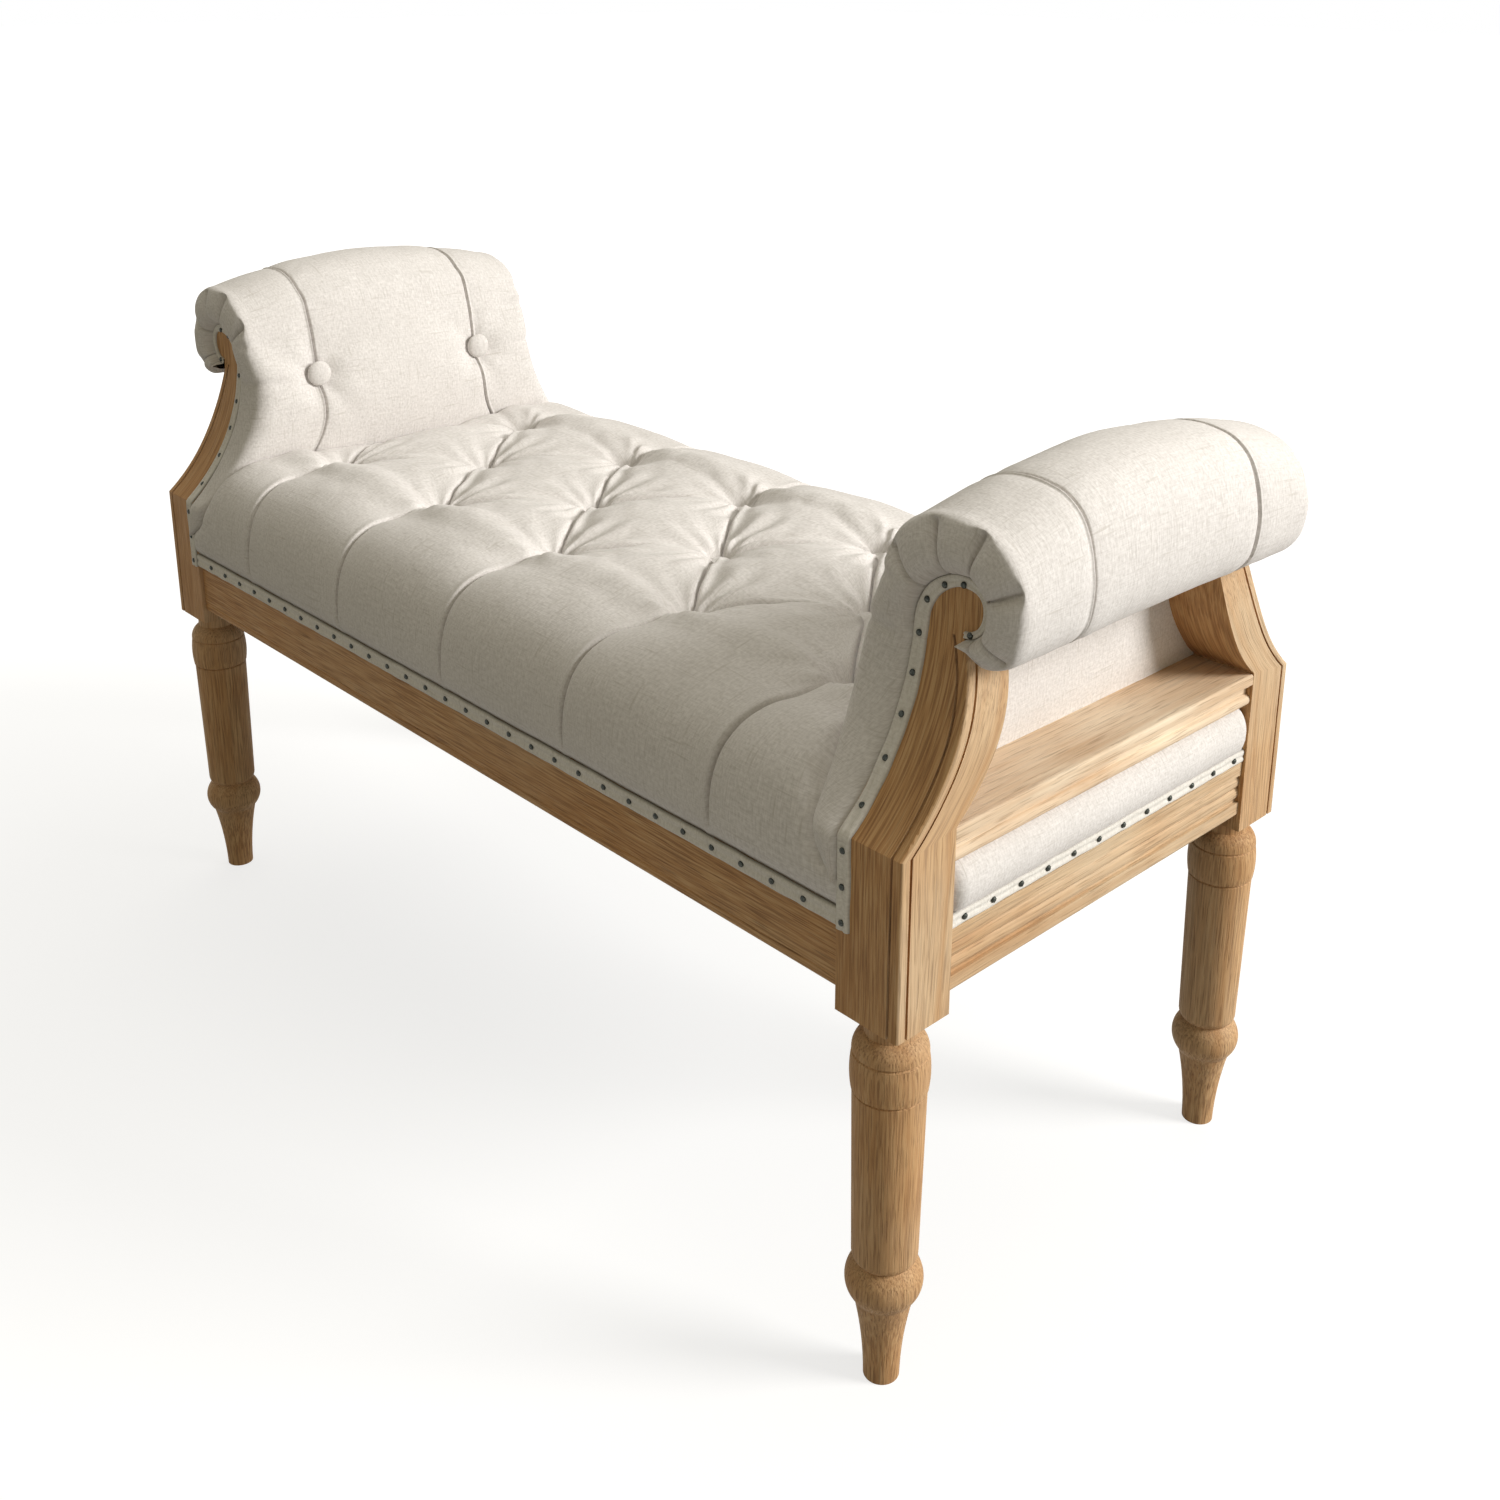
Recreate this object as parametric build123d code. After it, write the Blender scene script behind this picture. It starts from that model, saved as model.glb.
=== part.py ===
from build123d import *
import math
import os

# Upholstered bench: turned oak legs, four swept corner posts, two rolled arms and a buttoned seat.
# Millimetres, +X along the bench, -Y to the front, +Z up, origin on the floor under the middle.
# The bench is the same on both sides of its two middle planes, so most pieces are drawn for the
# front right corner or the right end and mirrored.

# Frame
LENGTH = 1150.0            # across the outer faces of the posts
DEPTH = 508.0              # across the front and rear faces of the posts
LEG_HEIGHT = 333.0         # floor to the underside of the posts
POST_WIDTH = 62.0          # along the bench
POST_DEPTH = 57.0          # front to rear, at the square block
FOLD_HEIGHT = 480.0        # where the face of a post folds back
SETBACK = 76.5             # how far the head of a post stands behind its block
SWEEP_TOP = 640.0          # where the swept face is upright again
BACK_FOLD = 487.0          # where the inner face of a post starts to sweep
BACK_SWEEP_TOP = 610.0
HEAD_DEPTH = 40.5          # front to rear, at the head
LEAN_START = 530.0         # where the outer face of a post starts to lean in
LEAN = 15.5
HEAD_SPRING = 622.0        # where the rounded head of a post starts
BEAD = 8.5                 # width of the corner bead
QUIRK = 2.5                # width of the groove each side of the bead
QUIRK_DEPTH = 3.0
BEAD_ROUND = 3.0

# Leg turning, heights above the floor
FOOT_RADIUS = 14.5
ANKLE_RADIUS = 23.5
ANKLE_HEIGHT = 76.0
BULB_RADIUS = 31.0
BULB_TOP = 113.0
NECK_RADIUS = 22.5
SHAFT_LOW_RADIUS = 26.3
SHAFT_HIGH_RADIUS = 28.7
SHAFT_TOP = 267.0
BARREL_RADIUS = 30.8
BARREL_TOP = 300.0
DOME_TOP = 318.0
TOP_NECK_RADIUS = 20.5
TURNING_STEP = 2.5         # depth of the turned grooves

# Rails and ledge
RAIL_BOTTOM = 347.0
RAIL_TOP = 424.0
RAIL_THICKNESS = 25.0
RAIL_SETBACK = 4.0         # long rails behind the face of the posts
RAIL_ROUND = 5.0
RAIL_QUIRK_HEIGHT = 11.0
END_SETBACK = 3.0          # end rails behind the outer face of the posts
END_FASCIA_TOP = 401.0
REED_START = 364.0
REED_PITCH = 11.0
REEDS = 2
REED_DEPTH = 3.5
BAND_DEPTH = 12.0          # room left for the padded band above the fascia
LEDGE_TOP = 486.0
LEDGE_SLAB = 10.0
LEDGE_COVE = 10.0
LEDGE_LIP = 10.0
COVE_DEPTH = 6.0

# Arms
SCROLL_BULGE = 22.0        # how far the scroll rail stands out from the heads
ARM_BOARD = 12.0
BOARD_MARGIN = 12.0
PANEL_THICKNESS = 3.0
ROLL_TOP = 712.0           # at the ends of the roll
ROLL_CROWN = 23.0
ROLL_OUT = 57.5            # from the scroll seam to the outer side of the roll
ROLL_IN = 74.5             # from the scroll seam to the inner side of the roll
ROLL_MIDDLE = 646.0        # height of the widest part of the roll
ROLL_BOTTOM = 608.0
ROLL_SPREAD = 4.0
ROLL_SWELL = (0.0, 0.55, 0.9, 1.0)  # share of the crown at each third, from shoulder to middle
ROLL_PROUD = 9.0           # puffed ends in front of the heads
ROLL_RIM = 14.0
ARM_PUFF = 5.0             # padding in front of the posts, below the roll
ARM_FOOT = 28.0            # how far the pad's lower edge stands in from the posts' inner face
ARM_BULGE = 55.0
ARM_CORNER = 22.0
ARM_SWELL = ((0.14, 0.0), (0.32, 0.55), (0.52, 0.9), (0.72, 1.0), (0.88, 0.65))  # height, fullness
ARM_BUTTON_SPAN = 216.0
ARM_BUTTON_HEIGHT = 615.0
ARM_TUFT_DEPTH = 13.0
CHANNEL_WIDTH = 5.0
CHANNEL_DEPTH = 4.0

# Seat
DECK = 12.0
FOAM_HEIGHT = 52.0
FOAM_COVER = 18.0          # wadding between the foam and the buttons
FOAM_MARGIN = 26.0
TUFT_DEPTH = 34.0          # crown of the seat above the seats of its buttons
SEAT_CROWN = 18.0
SEAT_SHOULDER = 58.0
SEAT_FALL = ((0.5, 2.0), (0.78, 12.0), (0.92, 34.0), (1.0, 60.0))  # way to an arm, drop there
SEAT_END_ROUND = ((0.92, 0.8), (1.0, 0.35))  # way to an arm, share of the shoulder left there
SEAT_PUFF = 7.0
SKIRT = 2.5
TUFT_PITCH = 200.0
ROW_PITCH = 125.0
TUFT_RADIUS = 44.0
BUTTON_RADIUS = 13.0
BUTTON_HEIGHT = 6.5
FOLD_DEPTH = 17.0
FOLD_WIDTH = 24.0
TWINE_RADIUS = 1.5
WASHER_RADIUS = 9.0
WASHER = 2.0

# Trim and fixings
TRIM_WIDTH = 16.0          # along the long rails
ARM_TRIM_WIDTH = 13.5
SCROLL_TRIM_WIDTH = 5.0
TRIM = 2.0
TRIM_BOTTOM = 403.0
END_TRIM_WIDTH = 13.0
NAIL_RADIUS = 2.6
NAIL_HEIGHT = 1.6
NAIL_SIDES = 6
RAIL_NAIL_PITCH = 34.0
END_NAIL_PITCH = 32.0
ARM_NAIL_PITCH = 28.0
HEAD_NAIL_ANGLES = (150, 118, 92)  # places of the nails over the head of a post, in degrees
BLOCK_REACH = 60.0
BLOCK_HEIGHT = 58.0
SCREW_RADIUS = 2.5
SCREW_HEAD = 4.5
SCREW_LENGTH = 38.0
SCREW_HEAD_HEIGHT = 3.0
SCREW_SEAT = 22.0          # wood of a block under the head of its screw
BOLT_RADIUS = 4.0
BOLT_REACH = 32.0
INSERT_RADIUS = 6.5
INSERT_LENGTH = 22.0
DUST_COVER = 0.8
DUST_MARGIN = 9.0
FIT = 0.2                  # clearance of fixings in their holes
SOFT_FIT = 0.3             # clearance of padding against its neighbours

# Places that follow from the sizes above
OUTER = LENGTH / 2
INNER = OUTER - POST_WIDTH
SEAM = OUTER - LEAN
FRONT = -DEPTH / 2
BLOCK_BACK = FRONT + POST_DEPTH
HEAD_FRONT = FRONT + SETBACK
HEAD_BACK = HEAD_FRONT + HEAD_DEPTH
HEAD_TOP = HEAD_SPRING + SEAM - INNER
LEG_X = OUTER - POST_WIDTH / 2
LEG_Y = FRONT + POST_DEPTH / 2
RAIL_FACE = FRONT + RAIL_SETBACK
RAIL_BACK = RAIL_FACE + RAIL_THICKNESS
END_FACE = OUTER - END_SETBACK
END_BACK = END_FACE - RAIL_THICKNESS
LEDGE_BOTTOM = LEDGE_TOP - LEDGE_SLAB - LEDGE_COVE - LEDGE_LIP
DECK_TOP = RAIL_TOP + DECK
FOAM_TOP = DECK_TOP + FOAM_HEIGHT
TUFT_HEIGHT = FOAM_TOP + FOAM_COVER
SEAT_TOP = TUFT_HEIGHT + TUFT_DEPTH
BUTTON_Y = ARM_BUTTON_SPAN / 2
ROLL_END = HEAD_FRONT - ROLL_PROUD
FAR = 2 * LENGTH           # past everything, for cuts


def across(face, x0, x1):
    """A face in the YZ plane, pushed along the bench from x0 to x1."""
    return extrude(Pos(x0, 0, 0) * face, amount=x1 - x0, dir=(1, 0, 0))


def deep(face, y0, y1):
    """A face in the XZ plane, pushed from front to rear from y0 to y1."""
    return extrude(Pos(0, y0, 0) * face, amount=y1 - y0, dir=(0, 1, 0))


def box(x0, x1, y0, y1, z0, z1):
    return Pos((x0 + x1) / 2, (y0 + y1) / 2, (z0 + z1) / 2) * Box(x1 - x0, y1 - y0, z1 - z0)


def to_left(shape):
    return mirror(shape, about=Plane.YZ)


def to_rear(shape):
    return mirror(shape, about=Plane.XZ)


def post_face(shift, top):
    """The swept front edge of a post, seen from the end, moved back by shift."""
    low = (0, FRONT + shift, LEG_HEIGHT)
    fold = (0, FRONT + shift, FOLD_HEIGHT)
    upright = (0, HEAD_FRONT + shift, SWEEP_TOP)
    return [
        Line(low, fold),
        TangentArc(upright, fold, tangent=(0, 0, -1)),
        Line(upright, (0, HEAD_FRONT + shift, top)),
    ]


def post_inner_edge(shift, bottom, top):
    """The swept inner edge of a post, seen from the end, moved back by shift."""
    fold = (0, BLOCK_BACK + shift, BACK_FOLD)
    upright = (0, HEAD_BACK + shift, BACK_SWEEP_TOP)
    return [
        Line((0, BLOCK_BACK + shift, bottom), fold),
        TangentArc(upright, fold, tangent=(0, 0, -1)),
        Line(upright, (0, HEAD_BACK + shift, top)),
    ]


def face_skin(outside, inside, top):
    """A skin over the front of a post, reaching out and in by the two depths given."""
    return make_face(
        post_face(-outside, top)
        + post_face(inside, top)
        + [
            Line((0, FRONT - outside, LEG_HEIGHT), (0, FRONT + inside, LEG_HEIGHT)),
            Line((0, HEAD_FRONT - outside, top), (0, HEAD_FRONT + inside, top)),
        ]
    )


def post_side(shift):
    """The outer edge of a post, seen from the front, up to its head, moved by shift."""
    start = (OUTER + shift, 0, LEAN_START)
    return [
        Line((OUTER + shift, 0, LEG_HEIGHT), start),
        TangentArc(start, (SEAM + shift, 0, HEAD_SPRING), tangent=(0, 0, 1)),
    ]


def side_skin(near, far):
    """A band along the outer edge of a post, seen from the front, between two depths."""
    return make_face(
        post_side(-near)
        + post_side(-far)
        + [
            Line((OUTER - near, 0, LEG_HEIGHT), (OUTER - far, 0, LEG_HEIGHT)),
            Line((SEAM - near, 0, HEAD_SPRING), (SEAM - far, 0, HEAD_SPRING)),
        ]
    )


def head_arc(inset):
    """The quarter round over the head of a post, seen from the front."""
    start = (INNER + inset, 0, HEAD_SPRING)
    return TangentArc(start, (SEAM, 0, HEAD_TOP - inset), tangent=(0, 0, 1))


def face_depth(z):
    """How far the front of a post stands from the middle of the bench at a height."""
    if z <= FOLD_HEIGHT:
        return -FRONT
    if z >= SWEEP_TOP:
        return -HEAD_FRONT
    rise = SWEEP_TOP - FOLD_HEIGHT
    radius = (SETBACK**2 + rise**2) / (2 * SETBACK)
    return -HEAD_FRONT + radius - math.sqrt(radius**2 - (SWEEP_TOP - z) ** 2)


def side_reach(z):
    """How far the outer face of a post stands from the middle of the bench at a height."""
    if z <= LEAN_START:
        return OUTER
    rise = HEAD_SPRING - LEAN_START
    radius = (LEAN**2 + rise**2) / (2 * LEAN)
    return OUTER - radius + math.sqrt(radius**2 - (z - LEAN_START) ** 2)


def post_outline():
    """A post and its rounded head, seen from the front."""
    return make_face(
        post_side(0)
        + [
            Line((SEAM, 0, HEAD_SPRING), (SEAM, 0, HEAD_TOP)),
            head_arc(0),
            Line((INNER, 0, HEAD_SPRING), (INNER, 0, LEG_HEIGHT)),
            Line((INNER, 0, LEG_HEIGHT), (OUTER, 0, LEG_HEIGHT)),
        ]
    )


def scroll_outline():
    """The half-round scroll rail beside the head of a post, seen from the front."""
    middle = (HEAD_SPRING + HEAD_TOP) / 2
    low = (SEAM, 0, HEAD_SPRING)
    high = (SEAM, 0, HEAD_TOP)
    return make_face([Line(low, high), ThreePointArc(high, (SEAM + SCROLL_BULGE, 0, middle), low)])


def bead_edges(post):
    """The edges along the outer front corner of a post, where the bead is rounded."""
    found = []
    for edge in post.edges():
        place = edge.position_at(0.5)
        on_face = abs(place.Y + face_depth(place.Z)) < QUIRK / 10
        on_side = abs(place.X - side_reach(min(place.Z, HEAD_SPRING))) < QUIRK / 10
        if on_face and on_side and LEG_HEIGHT < place.Z < HEAD_SPRING:
            found.append(edge)
    return found


# Corner post: one swept oak board with a bead worked on its outer front corner
def make_post_blank():
    """A post before its bead is worked."""
    side = make_face(
        post_face(0, HEAD_TOP)
        + post_inner_edge(0, LEG_HEIGHT, HEAD_TOP)
        + [
            Line((0, FRONT, LEG_HEIGHT), (0, BLOCK_BACK, LEG_HEIGHT)),
            Line((0, HEAD_FRONT, HEAD_TOP), (0, HEAD_BACK, HEAD_TOP)),
        ]
    )
    return across(side, INNER, OUTER) & deep(post_outline(), FRONT, 0)


def make_post():
    post = make_post_blank()
    front_quirk = deep(side_skin(BEAD, BEAD + QUIRK), FRONT, 0) & across(
        face_skin(0, QUIRK_DEPTH, HEAD_TOP), INNER, OUTER
    )
    bead_back = post_face(BEAD, HEAD_TOP)
    quirk_back = post_face(BEAD + QUIRK, HEAD_TOP)
    side_quirk_face = make_face(
        bead_back
        + quirk_back
        + [
            Line((0, FRONT + BEAD, LEG_HEIGHT), (0, FRONT + BEAD + QUIRK, LEG_HEIGHT)),
            Line((0, HEAD_FRONT + BEAD, HEAD_TOP), (0, HEAD_FRONT + BEAD + QUIRK, HEAD_TOP)),
        ]
    )
    side_quirk = across(side_quirk_face, INNER, OUTER) & deep(side_skin(0, QUIRK_DEPTH), FRONT, 0)
    post = fillet(bead_edges(post - front_quirk - side_quirk), BEAD_ROUND)
    hole = Pos(LEG_X, LEG_Y, LEG_HEIGHT) * Cylinder(
        INSERT_RADIUS + FIT, INSERT_LENGTH, align=(Align.CENTER, Align.CENTER, Align.MIN)
    )
    bolt_hole = Pos(LEG_X, LEG_Y, LEG_HEIGHT) * Cylinder(
        BOLT_RADIUS + FIT, BOLT_REACH + FIT, align=(Align.CENTER, Align.CENTER, Align.MIN)
    )
    return post - hole - bolt_hole


# Turned leg, drawn as half its section and spun
def make_leg():
    bulb_bottom = ANKLE_HEIGHT + TURNING_STEP
    shaft_bottom = BULB_TOP + 3 * TURNING_STEP
    barrel_bottom = SHAFT_TOP + TURNING_STEP
    dome_bottom = BARREL_TOP + TURNING_STEP
    foot_low = (FOOT_RADIUS, 0, 0)
    foot_mid = (FOOT_RADIUS + TURNING_STEP, 0, ANKLE_HEIGHT / 2)
    ankle = (ANKLE_RADIUS, 0, ANKLE_HEIGHT)
    waist = (NECK_RADIUS, 0, BULB_TOP)
    bulb = (BULB_RADIUS, 0, (bulb_bottom + BULB_TOP) / 2)
    shaft_low = (SHAFT_LOW_RADIUS, 0, shaft_bottom)
    shaft_high = (SHAFT_HIGH_RADIUS, 0, SHAFT_TOP)
    groove = (SHAFT_HIGH_RADIUS - TURNING_STEP / 2, 0, SHAFT_TOP + TURNING_STEP / 2)
    barrel_low = (BARREL_RADIUS - TURNING_STEP / 2, 0, barrel_bottom)
    barrel_mid = (BARREL_RADIUS, 0, (barrel_bottom + BARREL_TOP) / 2)
    barrel_high = (BARREL_RADIUS - TURNING_STEP / 2, 0, BARREL_TOP)
    upper_groove = (BARREL_RADIUS - TURNING_STEP, 0, BARREL_TOP + TURNING_STEP / 2)
    dome_low = (BARREL_RADIUS - TURNING_STEP / 2, 0, dome_bottom)
    neck = (TOP_NECK_RADIUS, 0, DOME_TOP)
    edges = [
        Line((0, 0, 0), foot_low),
        ThreePointArc(foot_low, foot_mid, ankle),
        Line(ankle, (ANKLE_RADIUS + TURNING_STEP / 2, 0, bulb_bottom)),
        ThreePointArc((ANKLE_RADIUS + TURNING_STEP / 2, 0, bulb_bottom), bulb, waist),
        TangentArc(shaft_low, waist, tangent=(0, 0, -1)),
        Line(shaft_low, shaft_high),
        Polyline(shaft_high, groove, barrel_low),
        ThreePointArc(barrel_low, barrel_mid, barrel_high),
        Polyline(barrel_high, upper_groove, dome_low),
        TangentArc(dome_low, neck, tangent=(0, 0, 1)),
        Polyline(neck, (TOP_NECK_RADIUS, 0, LEG_HEIGHT), (0, 0, LEG_HEIGHT), (0, 0, 0)),
    ]
    leg = revolve(make_face(edges), Axis.Z)
    bolt_hole = Pos(0, 0, LEG_HEIGHT) * Cylinder(
        BOLT_RADIUS + FIT, BOLT_REACH + FIT, align=(Align.CENTER, Align.CENTER, Align.MAX)
    )
    return Pos(LEG_X, LEG_Y, 0) * (leg - bolt_hole)


# Long rail under the seat, with a quirk and a rounded lower edge
def make_long_rail():
    quirk_top = RAIL_BOTTOM + RAIL_QUIRK_HEIGHT
    section = make_face(
        [
            TangentArc(
                (0, RAIL_FACE, RAIL_BOTTOM + RAIL_ROUND),
                (0, RAIL_FACE + RAIL_ROUND, RAIL_BOTTOM),
                tangent=(0, 0, -1),
            ),
            Polyline(
                (0, RAIL_FACE + RAIL_ROUND, RAIL_BOTTOM),
                (0, RAIL_BACK, RAIL_BOTTOM),
                (0, RAIL_BACK, RAIL_TOP),
                (0, RAIL_FACE, RAIL_TOP),
                (0, RAIL_FACE, quirk_top),
                (0, RAIL_FACE + QUIRK / 2, quirk_top - QUIRK / 2),
                (0, RAIL_FACE, quirk_top - QUIRK),
                (0, RAIL_FACE, RAIL_BOTTOM + RAIL_ROUND),
            ),
        ]
    )
    return across(section, -INNER, INNER)


# End rail: a rounded base, two reeds, a plain fascia and a step back for the padded band
def make_end_rail():
    base_top = REED_START - QUIRK
    reed_face = END_FACE - QUIRK / 2
    edges = [
        Line((END_BACK, 0, RAIL_BOTTOM), (END_FACE - RAIL_ROUND, 0, RAIL_BOTTOM)),
        TangentArc(
            (END_FACE, 0, RAIL_BOTTOM + RAIL_ROUND),
            (END_FACE - RAIL_ROUND, 0, RAIL_BOTTOM),
            tangent=(0, 0, -1),
        ),
        Polyline(
            (END_FACE, 0, RAIL_BOTTOM + RAIL_ROUND),
            (END_FACE, 0, base_top),
            (END_FACE - REED_DEPTH, 0, base_top),
            (END_FACE - REED_DEPTH, 0, REED_START),
        ),
    ]
    for reed in range(REEDS):
        low = REED_START + reed * REED_PITCH
        middle = low + REED_PITCH / 2
        edges.append(
            ThreePointArc(
                (END_FACE - REED_DEPTH, 0, low),
                (reed_face, 0, middle),
                (END_FACE - REED_DEPTH, 0, low + REED_PITCH),
            )
        )
    reeds_top = REED_START + REEDS * REED_PITCH
    edges.append(
        Polyline(
            (END_FACE - REED_DEPTH, 0, reeds_top),
            (END_FACE, 0, reeds_top + QUIRK),
            (END_FACE, 0, END_FASCIA_TOP),
            (END_FACE - BAND_DEPTH, 0, END_FASCIA_TOP),
            (END_FACE - BAND_DEPTH, 0, LEDGE_BOTTOM),
            (END_BACK, 0, LEDGE_BOTTOM),
            (END_BACK, 0, RAIL_BOTTOM),
        )
    )
    return deep(make_face(edges), BLOCK_BACK, -BLOCK_BACK)


# Ledge: a flat slab over a cove and a half-round lip
def make_ledge():
    slab_bottom = LEDGE_TOP - LEDGE_SLAB
    lip_top = slab_bottom - LEDGE_COVE
    lip_face = OUTER - LEDGE_LIP / 2
    nose = LEDGE_SLAB / 4
    cove = OUTER - COVE_DEPTH
    edges = [
        Line((INNER, 0, LEDGE_TOP), (OUTER - nose, 0, LEDGE_TOP)),
        TangentArc((OUTER - nose, 0, LEDGE_TOP), (OUTER, 0, LEDGE_TOP - nose), tangent=(1, 0, 0)),
        Polyline((OUTER, 0, LEDGE_TOP - nose), (OUTER, 0, slab_bottom), (cove, 0, slab_bottom)),
        Polyline((cove, 0, slab_bottom), (cove, 0, lip_top), (lip_face, 0, lip_top)),
        ThreePointArc(
            (lip_face, 0, lip_top),
            (OUTER - END_SETBACK / 2, 0, lip_top - LEDGE_LIP / 2),
            (lip_face, 0, LEDGE_BOTTOM),
        ),
        Polyline((lip_face, 0, LEDGE_BOTTOM), (INNER, 0, LEDGE_BOTTOM), (INNER, 0, LEDGE_TOP)),
    ]
    return deep(make_face(edges), BLOCK_BACK, -BLOCK_BACK)


# Padded band in the step of the end rail
def make_end_band():
    back = END_FACE - BAND_DEPTH + SOFT_FIT
    low = END_FASCIA_TOP + SOFT_FIT
    high = LEDGE_BOTTOM - SOFT_FIT
    skirt_top = END_FASCIA_TOP + END_TRIM_WIDTH
    edges = [
        Polyline((END_FACE - TRIM, 0, skirt_top), (END_FACE - TRIM, 0, low), (back, 0, low)),
        Line((back, 0, low), (back, 0, high)),
        ThreePointArc(
            (END_FACE - TRIM, 0, skirt_top),
            (OUTER + TRIM, 0, (skirt_top + high) / 2),
            (back + BAND_DEPTH / 2, 0, high),
        ),
        Line((back + BAND_DEPTH / 2, 0, high), (back, 0, high)),
    ]
    return deep(make_face(edges), BLOCK_BACK + SOFT_FIT, -BLOCK_BACK - SOFT_FIT)


def make_end_trim():
    return box(
        END_FACE - TRIM,
        END_FACE,
        BLOCK_BACK + SOFT_FIT,
        -BLOCK_BACK - SOFT_FIT,
        END_FASCIA_TOP + SOFT_FIT,
        END_FASCIA_TOP + END_TRIM_WIDTH,
    )


# Rail between the heads of the posts, with the same quarter round
def make_arm_top_rail():
    section = make_face(
        [
            head_arc(0),
            Polyline(
                (SEAM, 0, HEAD_TOP),
                (SEAM, 0, HEAD_SPRING),
                (INNER, 0, HEAD_SPRING),
            ),
        ]
    )
    return deep(section, HEAD_BACK, -HEAD_BACK)


# Half-round rail on the outer side of the heads
def make_scroll_rail():
    return deep(scroll_outline(), HEAD_FRONT, -HEAD_FRONT)


# Board on the inner faces of the two posts of an arm
def make_arm_board():
    top = HEAD_TOP - ARM_BOARD
    front_edges = post_face(BOARD_MARGIN, top)
    rear_edges = [to_rear(edge) for edge in front_edges]
    outline = make_face(
        front_edges
        + rear_edges
        + [
            Line((0, FRONT + BOARD_MARGIN, LEG_HEIGHT), (0, -FRONT - BOARD_MARGIN, LEG_HEIGHT)),
            Line((0, HEAD_FRONT + BOARD_MARGIN, top), (0, -HEAD_FRONT - BOARD_MARGIN, top)),
        ]
    )
    board = across(outline, INNER - ARM_BOARD, INNER)
    return board & box(-FAR, FAR, -FAR, FAR, DECK_TOP, FAR)


# Linen panel between the posts, under the roll
def make_outside_panel():
    front_edges = post_inner_edge(SOFT_FIT, LEDGE_TOP, HEAD_SPRING)
    rear_edges = [to_rear(edge) for edge in front_edges]
    outline = make_face(
        front_edges
        + rear_edges
        + [
            Line((0, BLOCK_BACK + SOFT_FIT, LEDGE_TOP), (0, -BLOCK_BACK - SOFT_FIT, LEDGE_TOP)),
            Line((0, HEAD_BACK + SOFT_FIT, HEAD_SPRING), (0, -HEAD_BACK - SOFT_FIT, HEAD_SPRING)),
        ]
    )
    return across(outline, INNER, INNER + PANEL_THICKNESS)


# Section of an arm's roll at one place along it
def roll_section(y, crown, inset):
    top = ROLL_TOP + ROLL_CROWN * crown - inset
    out = SEAM + ROLL_OUT + ROLL_SPREAD * crown - inset
    inward = SEAM - ROLL_IN + inset
    bottom = ROLL_BOTTOM + inset
    crest = SEAM + (ROLL_OUT - ROLL_IN) / 2
    half = math.sqrt(0.5)
    heel = SEAM + ROLL_OUT / 3
    right = (out, y, ROLL_MIDDLE)
    high = (crest, y, top)
    left = (inward, y, ROLL_MIDDLE)
    low = (heel, y, bottom)
    corner = (inward, y, bottom)
    under_arc = (heel + (out - heel) * half, y, ROLL_MIDDLE - (ROLL_MIDDLE - bottom) * half)
    outer_arc = (crest + (out - crest) * half, y, ROLL_MIDDLE + (top - ROLL_MIDDLE) * half)
    inner_arc = (crest - (crest - inward) * half, y, ROLL_MIDDLE + (top - ROLL_MIDDLE) * half)
    return make_face(
        [
            ThreePointArc(low, under_arc, right),
            ThreePointArc(right, outer_arc, high),
            ThreePointArc(high, inner_arc, left),
            Line(left, corner),
            Line(corner, low),
        ]
    )


def make_roll(inset):
    """The padded roll, crowned in the middle and rounded at its two ends."""
    shoulder = ROLL_END + ROLL_RIM
    stations = [(ROLL_END, 0.0, ROLL_RIM), (ROLL_END + ROLL_RIM / 4, 0.0, ROLL_RIM / 3)]
    for third, crown in enumerate(ROLL_SWELL):
        stations.append((shoulder * (3 - third) / 3, crown, 0.0))
    half = [roll_section(y, crown, inset + rim) for y, crown, rim in stations]
    other = [roll_section(-y, crown, inset + rim) for y, crown, rim in reversed(stations[:-1])]
    return loft(half + other, ruled=True)


def make_arm_slab():
    """The inside padding of an arm below its roll, wide at the seat and narrow at the roll."""
    rise = ROLL_MIDDLE - DECK_TOP
    spread = ARM_BULGE - ARM_FOOT
    reaches = [(0.0, ARM_FOOT / 4)]
    for share, fullness in ARM_SWELL:
        reaches.append((share, ARM_FOOT + spread * fullness))
    reaches.append((1.0, ROLL_IN + INNER - SEAM))
    sections = []
    for share, reach in reaches:
        z = DECK_TOP + rise * share
        half = face_depth(z) + ARM_PUFF
        corner = min(ARM_CORNER, reach * 0.6)
        inner = INNER - reach
        sections.append(
            make_face(
                [
                    Line((INNER, half, z), (INNER, -half, z)),
                    Line((INNER, -half, z), (inner + corner, -half, z)),
                    TangentArc((inner + corner, -half, z), (inner, -half + corner, z), tangent=(-1, 0, 0)),
                    Line((inner, -half + corner, z), (inner, half - corner, z)),
                    TangentArc((inner, half - corner, z), (inner + corner, half, z), tangent=(0, 1, 0)),
                    Line((inner + corner, half, z), (INNER, half, z)),
                ]
            )
        )
    return loft(sections, ruled=True)


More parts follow.
